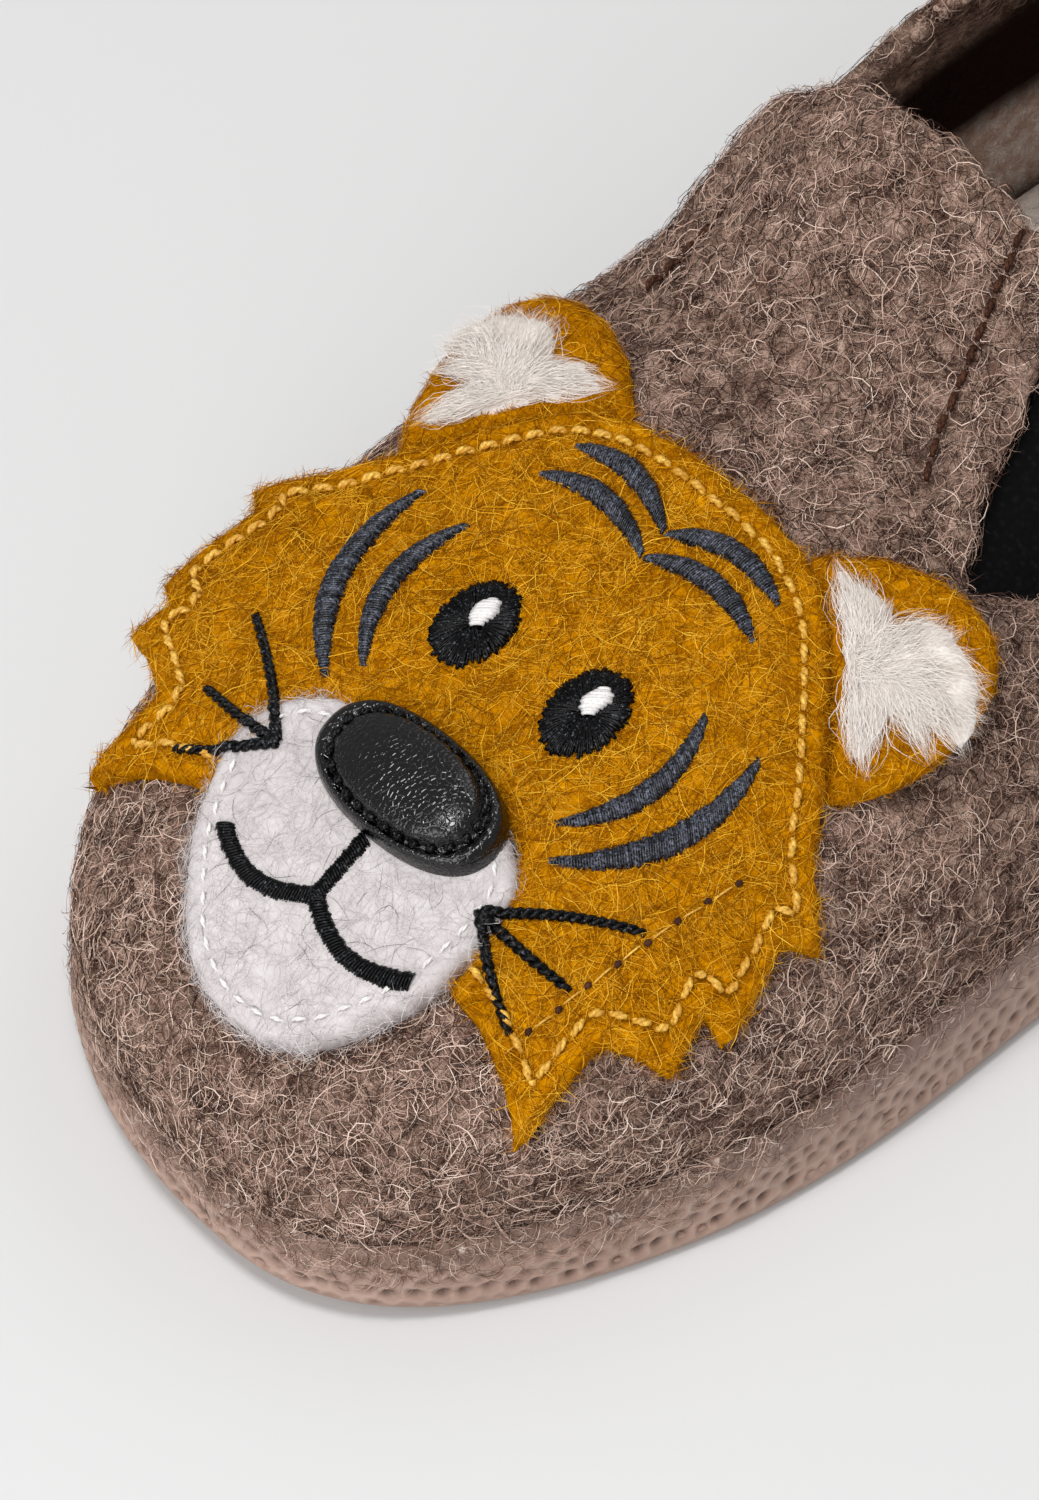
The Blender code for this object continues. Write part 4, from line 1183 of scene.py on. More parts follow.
@dataclass
class Outsole:
    """Dipped latex sole: smooth lip, knitted band and a glossier top edge."""

    last: Last
    spacing: float = 0.42
    rows: int = 36
    cell_along: float = 2.3
    cell_up: float = 1.75
    cell_rows: int = 14
    cell_jitter: float = 0.3
    net_width: float = 0.35
    hollow_reach: float = 0.4
    knit_start: float = 0.1
    knit_ease: float = 0.08
    fade: float = 0.75
    fade_start: float = 0.6
    fade_ease: float = 0.2
    first_row: float = 0.27
    first_row_width: float = 0.07
    gloss_start: float = 0.66
    gloss_ease: float = 0.14
    row_crowding: float = 1.15
    dimple: float = 0.55
    ridge: float = 0.12
    sway: float = 0.16
    sway_knots: int = 120
    top_overlap: float = 0.5
    stray_fibres: int = 4600
    stray_toe: Flat = (15.0, 65.0)
    stray_front: float = 110.0
    stray: FuzzKind = FuzzKind(
        length=(2.0, 5.0), curl_radius=(0.9, 3.0), lift=0.7, width=(0.03, 0.06), points=6
    )

    PROFILE = [
        (0.00, 2.1), (0.015, 1.2), (0.05, 0.4), (0.10, 0.05), (0.16, 0.0), (0.23, 0.1), (0.27, 0.3),
        (0.5, 0.3), (0.72, 0.5), (0.9, 0.75), (1.0, 1.3),
    ]

    def cells(self, along: Array, up: Array, around: float) -> tuple[Array, Array]:
        """Distances to the nearest and the next knit cell, in a pattern that closes round the sole.

        Args:
            along: Walk round the outline.
            up: Height on the band.
            around: Length of the whole walk.

        Returns:
            First and second distances, in cells.
        """
        rng = np.random.default_rng(11)
        across = int(round(around / self.cell_along))
        shift = rng.uniform(-self.cell_jitter, self.cell_jitter, (self.cell_rows, across, 2))
        u = along / around * across
        v = up / self.cell_up
        best = np.full(u.shape, np.inf)
        second = np.full(u.shape, np.inf)
        for dv in (-1, 0, 1):
            row = np.floor(v).astype(int) + dv
            stagger = 0.5 * (row % 2)
            for du in (-1, 0, 1):
                column = np.floor(u - stagger).astype(int) + du
                jitter = shift[row % self.cell_rows, column % across]
                reach = np.hypot(
                    u - (column + 0.5 + stagger + jitter[..., 0]), v - (row + 0.5 + jitter[..., 1])
                )
                second = np.minimum(second, np.maximum(reach, best))
                best = np.minimum(best, reach)
        return best, second

    def build(self) -> Piece:
        """Model the side band as a closed strip round the sole."""
        points, outward = self.last.outline(0.0, self.spacing)
        columns = len(points)
        around = columns * self.spacing
        share = np.linspace(0.0, 1.0, self.rows + 1) ** self.row_crowding
        inset = np.interp(share, *np.array(self.PROFILE).T)
        low = self.last.underside(points[:, 1])
        high = self.last.band_top(points[:, 1]) + self.top_overlap
        up = low[None, :] + share[:, None] * (high - low)[None, :]
        along = np.broadcast_to(np.arange(columns) * self.spacing, up.shape)
        near, next_near = self.cells(along, up - low[None, :], around)
        faded = 1.0 - self.fade * smooth((share - self.fade_start) / self.fade_ease)
        knit = smooth((share - self.knit_start) / self.knit_ease) * faded
        net = 1.0 - smooth((next_near - near) / self.net_width)
        hollow = 1.0 - smooth(near / self.hollow_reach)
        first_row = np.exp(-((share - self.first_row) / self.first_row_width) ** 2)
        rng = np.random.default_rng(5)
        knots = np.linspace(0, columns, self.sway_knots)
        sway = np.interp(np.arange(columns), knots, rng.normal(0.0, self.sway, self.sway_knots))
        relief = knit[:, None] * (self.ridge * net - self.dimple * hollow * (0.55 + 0.9 * first_row[:, None]))
        relief += sway[None, :] * knit[:, None] * 0.5
        reach = -inset[:, None] + relief
        plan = points[None] + outward[None] * reach[..., None]
        shape = np.concatenate([plan, up[..., None]], axis=-1)
        piece = add_grid("outsole_band", columns, self.rows)
        closed = np.concatenate([shape, shape[:, :1]], axis=1)
        place_points(piece, self.last.place(closed).reshape(-1, 3))
        # Painted light and shade on the knit: the net's ridges are painted paler and the dimples darker, most
        # in the first row.
        level = 0.3 * net - 0.5 * hollow * (0.7 + 0.5 * first_row[:, None])
        level = np.clip(0.5 + knit[:, None] * level, 0, 1)
        level = np.concatenate([level, level[:, :1]], axis=1)
        gloss = smooth((share - self.gloss_start) / self.gloss_ease)
        zone = np.broadcast_to(gloss[:, None], level.shape)
        set_attribute(piece, "ridge", level.ravel())
        set_attribute(piece, "top_zone", zone.ravel())
        close_seams(piece)
        return piece

    def dress(self) -> None:
        """Build the band with the wool stuck to it and give band and sole their latex."""
        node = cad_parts["outsole"]
        node.data.materials.clear()
        node.data.materials.append(Finishes.sole.material())
        band = self.build()
        fuzz = Fuzz(band, seed=12)
        roots, normals = fuzz.roots(self.stray_fibres, self.upper_part)
        tints = np.clip(fuzz.rng.normal(0.56, 0.24, len(roots)), 0.0, 1.0)
        fibres = fuzz.grow("band_fibres", roots, normals, self.stray, tints)
        dress(fibres, Finishes.wool_fibres)
        dress(band, Finishes.latex)

    def upper_part(self, middles: Array, facing: Array) -> Array:
        """Share of stray wool on the band: most at its top edge and round the toe."""
        s = middles[:, 1] / MM + self.last.length / 2
        low = self.last.underside(s)
        share = (middles[:, 2] / MM - low) / (self.last.band_top(s) - low)
        start, end = self.stray_toe
        toe = 0.3 * (1.0 - smooth((s - start) / (end - start)))
        front = 0.25 + 0.75 * (s < self.stray_front)
        return np.clip((share - 0.6 + toe) / 0.5, 0.0, 1.0) ** 1.5 * front


@dataclass
class Insole:
    """Felt footbed inside the shoe."""

    lump: float = 0.5
    lump_size: float = 7.0

    def dress(self) -> None:
        """Soften the footbed and give it its felt."""
        piece = rounded_copy("insole", "footbed", levels=2)
        lumps(piece, self.lump, self.lump_size)
        dress(piece, Finishes.footbed, ["insole"])


FLAP_EDGES: dict[Side, list[Flat]] = {
    Side.RIGHT: [(87.0, 30.2), (91.0, 29.6), (96.0, 29.0), (102.0, 28.2), (107.5, 27.4)],
    Side.LEFT: [(87.0, 22.0), (91.0, 20.0), (96.0, 18.8), (102.0, 17.4), (107.5, 16.5)],
}


COLLAR: list[Flat] = [
    (83.0, 34.0), (96.0, 32.4), (109.0, 38.6), (122.0, 46.4), (130.0, 50.1), (140.0, 52.2), (165.0, 54.1),
    (196.0, 56.0),
]


class Crease(NamedTuple):
    """One soft trough or ridge on the felt, from place to place in flat millimetres."""

    start: Flat
    end: Flat
    depth: float
    width: float


CREASES = [
    Crease(start=(-15.0, 41.0), end=(13.0, 40.0), depth=0.9, width=5.0),
    Crease(start=(23.5, 36.0), end=(31.0, 22.0), depth=0.8, width=4.0),
    Crease(start=(-22.5, 36.0), end=(-30.0, 22.0), depth=0.8, width=4.0),
    Crease(start=(-9.0, 52.0), end=(8.0, 55.0), depth=-0.6, width=6.0),
    Crease(start=(34.0, -24.0), end=(22.0, -38.0), depth=-0.5, width=5.0),
]


@dataclass
class Upper:
    """Boiled-wool shell with its loose fibres and topstitching."""

    last: Last
    face: FaceMap
    lump: float = 0.8
    lump_size: float = 2.8
    front_fibres: int = 32000
    back_fibres: int = 5200
    lining_fibres: int = 1600
    fringe_fibres: int = 3600
    dark_share: float = 0.42
    spare: float = 1.5
    toe_end_m: float = -0.035
    front_end_m: float = 0.014
    lining_low_m: float = 0.04
    fringe_height: float = 2.2
    # The inside below this height gets the pale lining colour, partly painted light, blended in over the next
    # value.
    lining_top: float = 22.0
    lining_blend: float = 5.0
    # Painted shade inside the shoe starts this far below the collar's rim and fades in over its blend.
    painted_shade_below_rim: float = 8.5
    pocket_blend: float = 7.0
    corner_rise: tuple[float, float, float] = (-1.6, 0.0, 2.4)
    corner_side: float = 2.0
    corner_side_ease: float = 14.0
    corner_low: float = 34.0
    corner_low_ease: float = 6.0
    corner_place: float = 106.0
    corner_reach: float = 12.0
    corner_end: float = 112.0
    inner_ends_m: Flat = (-0.055, 0.062)
    inner_height_m: float = 0.018
    kind: FuzzKind = FuzzKind(
        length=(2.6, 7.0), curl_radius=(0.8, 2.8), lift=0.65, width=(0.04, 0.1), points=6
    )
    fringe: FuzzKind = FuzzKind(
        length=(2.5, 6.0), curl_radius=(0.9, 3.0), lift=1.2, width=(0.045, 0.09), points=7, stray=0.5
    )
    crease_reach: float = 6.0
    stitch_inset: float = 7.0
    seam_depth: float = 1.2
    seam_width: float = 1.4
    seam_reach: float = 1.5

    def shell(self) -> Piece:
        """Model the felt shell from its solid."""
        piece = rounded_copy("upper", "upper_felt", levels=2)
        points = points_of(piece)
        normals = normals_of(piece)
        flat, away = self.face.flatten(points)
        push = np.zeros(len(points))
        for crease in CREASES:
            line = np.array([crease.start, crease.end])
            push -= trough(line, flat, crease.depth, crease.width)
        push *= away < self.crease_reach
        for line in self.seams():
            push -= trough(line, flat, self.seam_depth, self.seam_width) * (away < self.seam_reach)
        inner = ~self.outside(points, normals)
        # Partly painted light: the inner wall below the given height gets the pale lining colour, the lining
        # felt's own paler colour brightened to stand in for light on the lower inside.
        low = 1.0 - smooth((points[:, 2] / MM - self.lining_top) / self.lining_blend + 0.5)
        set_attribute(piece, "lining", inner * low)
        # Painted shade: on the inside, from a little below the collar's rim downwards, the felt is painted in
        # its darkest colour; the pale lining painted lower down covers its bottom part.
        rim = np.interp(points[:, 1] / MM + self.last.length / 2, *np.array(COLLAR).T)
        deep = (rim - points[:, 2] / MM - self.painted_shade_below_rim) / self.pocket_blend
        set_attribute(piece, "pocket", inner * smooth(deep))
        place_points(piece, points + normals * (push * MM)[:, None] + self.flap_corner(points))
        lumps(piece, self.lump, self.lump_size)
        return piece

    def flap_corner(self, points: Array) -> Array:
        """Rise of the flap's right corner, which stands off the foot, in metres."""
        s = points[:, 1] / MM + self.last.length / 2
        aside = smooth((-points[:, 0] / MM - self.corner_side) / self.corner_side_ease)
        high = smooth((points[:, 2] / MM - self.corner_low) / self.corner_low_ease)
        share = np.exp(-(((s - self.corner_place) / self.corner_reach) ** 2)) * aside * high
        share = share * (s < self.corner_end)
        return share[:, None] * np.array(self.corner_rise) * MM

    def seams(self) -> list[Array]:
        """Lines of topstitching inside the flap's two edges, in flat millimetres."""
        lines = []
        for side in Side:
            rows = [(s, flap - self.stitch_inset) for s, flap in FLAP_EDGES[side]]
            lines.append(np.array([(side.value * across, self.face.up_at(s)) for s, across in rows]))
        return lines

    def outside(self, places: Array, facing: Array) -> Array:
        """Tell which places face away from the inside of the shoe."""
        axis = np.zeros_like(places)
        axis[:, 1] = np.clip(places[:, 1], *self.inner_ends_m)
        axis[:, 2] = self.inner_height_m
        return np.sum(facing * unit(places - axis), axis=1) > 0.15

    def above_rim(self, places: Array) -> Array:
        """Heights above the sole's rim, in millimetres."""
        return places[:, 2] / MM - self.last.band_top(places[:, 1] / MM + self.last.length / 2)

    def outer(self, middles: Array, facing: Array) -> Array:
        """Tell which places are on the outside and above the sole's rim."""
        return self.outside(middles, facing) & (self.above_rim(middles) > -0.2)

    def clear_of(self, points: Array, outlines: Sequence[Array]) -> Array:
        """Tell which points of the felt no face piece covers."""
        flat, _ = self.face.flatten(points)
        covered = np.zeros(len(points), bool)
        for outline in outlines:
            covered |= inside(outline, flat)
        return ~covered

    def grow(
        self, fuzz: Fuzz, name: str, count: int, kind: FuzzKind, covers: Sequence[Array], keep: Keep,
        tone: float = 0.6,
    ) -> None:
        """Grow fibres over a part of the shell.

        Args:
            fuzz: The shell's surface.
            name: Name of the piece.
            count: Number of fibres.
            kind: How they lie.
            covers: Outlines of the face pieces that lie on the felt.
            keep: Test of where they grow.
            tone: Middle of their shades.
        """
        roots, normals = fuzz.roots(int(count * self.spare), keep)
        clear = self.clear_of(roots, covers)
        roots, normals = roots[clear][:count], normals[clear][:count]
        dark = fuzz.rng.random(len(roots)) < self.dark_share
        tints = np.where(dark, tone - 0.4, tone + 0.18) + fuzz.rng.normal(0.0, 0.14, len(roots))
        fibres = fuzz.grow(name, roots, normals, kind, np.clip(tints, 0.0, 1.0))
        dress(fibres, Finishes.wool_fibres)

    def dress(self, covers: Sequence[Array]) -> None:
        """Build the shell, its fibres and its topstitching.

        Args:
            covers: Outlines of the face pieces that lie on the felt.
        """
        shell = self.shell()
        fuzz = Fuzz(shell, seed=3)
        half = self.front_fibres // 2
        split, end = self.toe_end_m, self.front_end_m
        self.grow(fuzz, "wool_fibres_toe", half, self.kind, covers,
                  lambda m, f: self.outer(m, f) & (m[:, 1] < split))
        # Painted shade: the flap's fibres get a darker tone than the toe's, darkening the upward-facing flap.
        self.grow(fuzz, "wool_fibres_flap", half, self.kind, covers,
                  lambda m, f: self.outer(m, f) & (m[:, 1] >= split) & (m[:, 1] < end), 0.5)
        self.grow(fuzz, "wool_fibres_heel", self.back_fibres, self.kind, [],
                  lambda m, f: self.outer(m, f) & (m[:, 1] >= end))
        self.grow(fuzz, "wool_fringe", self.fringe_fibres, self.fringe, [],
                  lambda m, f: self.outer(m, f) & (self.above_rim(m) < self.fringe_height), 0.62)
        self.grow(fuzz, "lining_fibres", self.lining_fibres, self.kind, [],
                  lambda m, f: ~self.outside(m, f) & (m[:, 2] > self.lining_low_m), 0.4)
        pile = MeshPile()
        rng = np.random.default_rng(31)
        stitches = Stitches(self.face, pitch=2.4, gap=0.6, radius=0.27)
        for line in self.seams():
            stitches.sew(pile, line, lambda places: np.full(len(places), -0.1), rng)
        dress(pile.make("flap_stitches"), Finishes.brown_thread)
        dress(shell, Finishes.wool, ["upper"])


@dataclass
class Gusset:
    """Elastic panel beside the flap."""

    side: Side
    rib_pitch: float = 1.1
    rib_height: float = 0.25

    def dress(self) -> None:
        """Rib the panel along the shoe and give it its weave."""
        label = self.side.label
        piece = rounded_copy("gusset_" + label, "elastic_" + label, levels=3)
        points = points_of(piece)
        rib = 0.5 + 0.5 * np.cos(2 * math.pi * points[:, 1] / (self.rib_pitch * MM))
        place_points(piece, points + normals_of(piece) * ((rib - 0.5) * self.rib_height * MM)[:, None])
        set_attribute(piece, "rib", rib)
        dress(piece, Finishes.elastic, ["gusset_" + label])


def joined(left: Sequence[Flat], right: Sequence[Flat]) -> Array:
    """Close an outline from its halves, each listed from the top middle to the bottom middle."""
    return np.array(list(left) + [(-a, u) for a, u in reversed(right) if a > 0.0])


HEAD_CROWN: list[Flat] = [
    (0.0, 27.6), (5.0, 27.5), (10.5, 26.9), (14.5, 25.4), (18.5, 22.6), (23.0, 17.6), (28.0, 11.4),
    (31.5, 6.6), (38.0, 1.6), (34.9, -0.8), (36.4, -5.6),
]
HEAD_TEETH: dict[Side, list[Flat]] = {
    Side.LEFT: [(37.7, -10.3), (34.0, -10.7), (35.8, -16.0), (32.6, -17.4), (29.0, -19.6)],
    Side.RIGHT: [(37.8, -10.7), (34.7, -12.3), (36.8, -16.2), (33.2, -17.9), (28.4, -21.3)],
}
HEAD_JAW: list[Flat] = [(28.9, -26.0), (29.4, -31.0), (24.6, -28.6), (19.6, -27.0), (15.2, -26.5)]
HEAD_LEFT, HEAD_RIGHT = (HEAD_CROWN + HEAD_TEETH[side] + HEAD_JAW for side in (Side.LEFT, Side.RIGHT))
MUZZLE_HALF: list[Flat] = [
    (0.0, -11.4), (6.0, -11.5), (10.6, -12.8), (13.2, -16.2), (14.5, -21.0), (14.7, -26.0), (13.9, -31.0),
    (11.5, -35.8), (7.8, -39.4), (4.0, -41.2), (0.0, -41.8),
]
MUZZLE_EDGE: dict[Side, list[Flat]] = {
    Side.LEFT: [
        (0.0, -11.4), (6.0, -11.6), (10.4, -12.6), (12.9, -14.0), (14.5, -15.8), (15.3, -18.6), (15.3, -22.4),
        (14.8, -26.6), (13.8, -30.4), (12.1, -33.8), (10.1, -37.0), (7.6, -39.7), (4.2, -41.3), (0.0, -41.7),
    ],
    Side.RIGHT: [
        (7.0, -11.3), (13.2, -12.6), (16.4, -15.4), (18.3, -19.0), (18.2, -22.6), (17.0, -25.8),
        (15.6, -29.0), (13.9, -32.0), (11.8, -34.7), (9.4, -37.4), (6.8, -39.6), (3.6, -41.1),
    ],
}
COVER_INSET = 0.6
MUZZLE_SEAM = 0.4
MUZZLE_ROUND = 8.0
HEAD_FOOT = -26.0


def muzzle_outline() -> Array:
    """Outline of the muzzle, fuller at its upper right corner."""
    return joined(MUZZLE_EDGE[Side.LEFT], MUZZLE_EDGE[Side.RIGHT])


def head_outline() -> Array:
    """Outline of the mask, cut out round the muzzle."""
    around = []
    for a, u in MUZZLE_HALF:
        if u > HEAD_FOOT:
            around.append((a + MUZZLE_SEAM * a / math.hypot(a, MUZZLE_ROUND), u + MUZZLE_SEAM))
    cut = list(reversed(around))
    return joined(HEAD_LEFT + cut, HEAD_RIGHT + cut)


class SeamLine(NamedTuple):
    """A line of stitches in flat millimetres with its trough."""

    line: Array
    depth: float
    width: float


@dataclass
class FeltPatch:
    """A felt cut-out laid on the vamp, with rounded edges and troughs along its stitches."""

    face: FaceMap
    name: str
    outline: Array
    top: float
    cell: float = 0.8
    edge: float = 1.3
    lump: float = 0.35
    lump_size: float = 3.5
    thickness: float = 1.4
    rim_share: float = 0.12
    seams: Sequence[SeamLine] = ()
    flare: float = 0.0
    flare_start: float = 25.0
    flare_reach: float = 13.0
    flare_power: float = 1.2

    def lift(self, flat: Array) -> Array:
        """Lift of the patch's face above the felt."""
        border = evenly(ring(self.outline), 0.6)
        near = np.clip(distance_to(border, flat, closed=False) / self.edge, 0.0, 1.0)
        rise = self.top * (self.rim_share + (1.0 - self.rim_share) * dome(near))
        for seam in self.seams:
            rise -= trough(seam.line, flat, seam.depth, seam.width) * near
        off = np.clip((Side.RIGHT.value * flat[:, 0] - self.flare_start) / self.flare_reach, 0.0, 1.0)
        return rise + self.flare * off ** self.flare_power

    def build(self) -> Piece:
        """Cut the sheet, lay it on the felt and give it its thickness."""
        piece = cut_sheet(self.name, evenly_round(self.outline, self.cell), self.cell)
        flat = points_of(piece)[:, :2]
        place_points(piece, self.face.lay(flat, self.lift(flat)))
        with editing(piece):
            bpy.ops.mesh.normals_make_consistent(inside=False)
        thicken(piece, self.face.normal(flat), self.lump, self.lump_size, self.thickness)
        return piece


def wound(middle: Array, normals: Array, angle: Array, offset_m: float) -> Array:
    """Path of one ply that winds round a thread's middle line.

    Args:
        middle: Points of the middle line, in metres.
        normals: Directions out of the felt there.
        angle: Turn of the ply at each point.
        offset_m: Distance of the ply from the middle line.

    Returns:
        Points of the ply, in metres.
    """
    sideways = np.cross(unit(np.gradient(middle, axis=-2)), normals)
    return middle + offset_m * (sideways * np.cos(angle)[:, None] + normals * np.sin(angle)[:, None])


@dataclass
class Stitches:
    """Running stitches of two-ply thread along lines on the felt."""

    face: FaceMap
    pitch: float = 2.3
    gap: float = 0.5
    radius: float = 0.24
    plies: int = 2
    twist: float = 1.1
    points: int = 9
    rise: float = 0.0
    sway: float = 0.08
    ply_offset: float = 0.55

    def sew(
        self, pile: MeshPile, line: Array, lift: Lift, rng: Random
    ) -> None:
        """Sew along one line.

        Args:
            pile: Where the stitches go.
            line: Flat places along the line.
            lift: Lift of the face under flat places.
            rng: Random numbers for the small unevenness of hand-fed stitching.
        """
        knots = evenly(line, self.pitch)
        start, end = knots[:-1], knots[1:]
        count = len(start)
        along = unit(end - start)
        aside = quarter_turn(along)
        start = start + along * self.gap / 2 + aside * rng.normal(0.0, self.sway, (count, 1))
        end = end - along * self.gap / 2 + aside * rng.normal(0.0, self.sway, (count, 1))
        t = np.linspace(0.0, 1.0, self.points)
        flat = start[:, None] * (1 - t)[None, :, None] + end[:, None] * t[None, :, None]
        base = lift(flat.reshape(-1, 2)).reshape(count, self.points)
        bow = -0.25 + 0.6 * np.sin(math.pi * t) ** 0.6
        normals = self.face.normal(flat)
        middle = self.face.lay(flat, base + self.rise + bow[None, :])
        offset = 0.0 if self.plies == 1 else self.radius * self.ply_offset * MM
        radii = self.radius * (0.62 + 0.38 * np.sin(math.pi * t) ** 0.5)
        for ply in range(self.plies):
            path = wound(middle, normals, 2 * math.pi * (self.twist * t + ply / self.plies), offset)
            pile.tubes(path, normals, np.tile(radii, (count, 1)), rng.uniform(0.35, 1.0, count))


@dataclass
class Satin:
    """Close threads laid side by side over a padded shape."""

    face: FaceMap
    pitch: float = 0.3
    radius: float = 0.18
    points: int = 7
    crown: float = 0.75
    full_width: float = 2.2
    sink: float = 0.15
    uneven: float = 0.11

    def fill(
        self, pile: MeshPile, first: Array, second: Array, base: float, rng: Random
    ) -> None:
        """Lay threads from one edge of a shape to the other.

        Args:
            pile: Where the threads go.
            first: Flat places where the threads start.
            second: Flat places where they end.
            base: Lift of the felt under the shape.
            rng: Random numbers for uneven ends.
        """
        count = len(first)
        run = second - first
        first = first - run * rng.uniform(-0.02, self.uneven, (count, 1))
        second = second + run * rng.uniform(-0.02, self.uneven, (count, 1))
        t = np.linspace(0.0, 1.0, self.points)
        flat = first[:, None] * (1 - t)[None, :, None] + second[:, None] * t[None, :, None]
        height = self.crown * np.minimum(np.linalg.norm(run, axis=1) / self.full_width, 1.0)
        round_over = np.sqrt(np.maximum(1.0 - (2 * t - 1) ** 2, 0.0)) ** 0.8
        path = self.face.lay(flat, base - self.sink + height[:, None] * round_over[None, :])
        radii = self.radius * rng.uniform(0.85, 1.15, (count, 1)) * np.ones(self.points)[None, :]
        pile.tubes(path, self.face.normal(flat), radii, rng.uniform(0.1, 1.0, count))


class Stripe(NamedTuple):
    """One satin-stitched stripe, left side: its ends, its bow to one side and its widest place."""

    name: str
    start: Flat
    end: Flat
    bow: float
    width: float


STRIPES = [
    Stripe("cheek_inner", start=(15.6, 8.2), end=(12.6, -9.0), bow=2.9, width=2.4),
    Stripe("cheek_outer", start=(22.0, 8.6), end=(14.6, -12.0), bow=3.5, width=2.7),
    Stripe("brow_upper", start=(13.2, 20.9), end=(0.2, 19.4), bow=-1.9, width=2.4),
    Stripe("brow_lower", start=(13.9, 16.6), end=(0.2, 16.3), bow=-1.9, width=2.4),
]
HEAD_TOP = 2.6
MUZZLE_TOP = 3.2


@dataclass
class Embroidery:
    """Satin stripes, eyes and mouth, and the whisker threads."""

    face: FaceMap
    eye_middle: Flat = (7.3, 0.8)
    eye_half: Flat = (3.45, 4.7)
    eye_crown: float = 0.85
    eye_threads: int = 90
    eye_layers: Flat = (0.02, 0.4)
    eye_thread: float = 0.18
    shine_threads: int = 9
    shine_place: Flat = (0.1, 1.3)
    shine_run: Flat = (-0.3, 1.35)
    shine_reach: Flat = (0.85, 0.7)
    mouth_top: float = -21.4
    mouth_joint: float = -28.2
    mouth_reach: dict = field(default_factory=lambda: {Side.LEFT: 12.6, Side.RIGHT: 11.7})
    mouth_drop: float = 2.3
    mouth_half: float = 0.74
    taper: float = 0.44
    tip: float = 0.34
    slant: float = 0.35
    slim: float = 0.86
    whisker_root: Flat = (13.3, -19.7)
    whisker_tips: tuple[tuple[Flat, float], ...] = (
        ((25.5, -10.4), 0.4), ((23.9, -18.9), -0.3), ((22.2, -25.4), -0.5),
    )
    whisker_radius: float = 0.42
    whisker_ply: float = 0.26
    whisker_twist: float = 1.9
    whisker_low: float = 2.2
    whisker_rise: float = 0.32

    def stripes(self) -> None:
        """Stitch the crescents of both sides."""
        satin = Satin(self.face, crown=1.0, radius=0.17, pitch=0.27)
        for stripe in STRIPES:
            for side in Side:
                rng = np.random.default_rng(40 + len(stripe.name) + side.value)
                start = np.array(stripe.start)
                chord = np.array(stripe.end) - start
                aside = quarter_turn(chord) / np.linalg.norm(chord)
                count = int(np.linalg.norm(chord) * 1.12 / satin.pitch)
                p = np.linspace(0.01, 0.99, count)[:, None]
                middle = start + chord * p + aside * stripe.bow * 4.0 * p * (1.0 - p)
                half = self.slim * stripe.width / 2 * np.maximum(np.sin(math.pi * p) ** self.taper, self.tip)
                reach = (aside + unit(np.gradient(middle, axis=0)) * self.slant) * half
                pile = MeshPile()
                satin.fill(pile, (middle + reach) * side.flip, (middle - reach) * side.flip, HEAD_TOP, rng)
                name = stripe.name + "_" + side.label
                dress(pile.make("stripe_threads_" + name), Finishes.stripe, ["stripe_" + name])

    def spokes(self, pile: MeshPile, middle: Array, rng: Random) -> None:
        """Fill an eye with threads that run out from its middle.

        Args:
            pile: Where the threads go.
            middle: Middle of the eye.
            rng: Random numbers for uneven ends.
        """
        half = np.array(self.eye_half)
        t = np.linspace(0.0, 1.0, 8)
        count = self.eye_threads
        for near in self.eye_layers:
            angle = 2 * math.pi * (np.arange(count) + rng.uniform(-0.3, 0.3, count)) / count
            start = (near + 0.3 * rng.random(count))[:, None]
            run = np.stack([np.cos(angle), np.sin(angle)], axis=1) * half
            end = 1.0 + rng.uniform(-0.06, 0.12, count)[:, None]
            share = start + (end - start) * t[None]
            flat = middle + run[:, None] * share[..., None]
            rise = HEAD_TOP - 0.2 + self.eye_crown * np.sqrt(np.maximum(1.0 - (share / 1.14) ** 4, 0.0))
            rise = rise - 0.3 * (1.0 - t) ** 4 + rng.uniform(0.0, 0.08, (count, 1))
            radii = self.eye_thread * rng.uniform(0.85, 1.15, (count, 1)) * (0.8 + 0.2 * share)
            normals = self.face.normal(flat)
            pile.tubes(self.face.lay(flat, rise), normals, radii, rng.uniform(0.2, 1.0, count))

    def eyes(self) -> None:
        """Stitch both eyes and their highlights."""
        shine = Satin(self.face, crown=0.45, radius=0.24, points=6)
        for side in Side:
            rng = np.random.default_rng(60 + side.value)
            middle = np.array(self.eye_middle) * side.flip
            pile = MeshPile()
            self.spokes(pile, middle, rng)
            name = "eye_threads_" + side.label
            dress(pile.make(name), Finishes.black_thread, ["eye_" + side.label])
            pile = MeshPile()
            v = np.linspace(-1.0, 1.0, self.shine_threads)[:, None]
            rows = middle + np.array(self.shine_place) + np.array(self.shine_run) * v
            uneven = rng.uniform(0.85, 1.15, (self.shine_threads, 1))
            reach = np.array(self.shine_reach) * np.sqrt(1.0 - 0.75 * v * v) * uneven
            shine.fill(pile, rows - reach, rows + reach, HEAD_TOP + self.eye_crown, rng)
            dress(pile.make("eye_shine_" + side.label), Finishes.white_thread)

    def mouth_line(self, side: Side) -> Array:
        """Flat places along one arc of the mouth, from the joint to its end."""
        p = np.linspace(0.0, 1.0, 40)
        drop = self.mouth_drop * np.sin(math.pi * p) ** 0.9 + 0.3 * p
        return np.stack([side.value * self.mouth_reach[side] * p, self.mouth_joint - drop], axis=1)

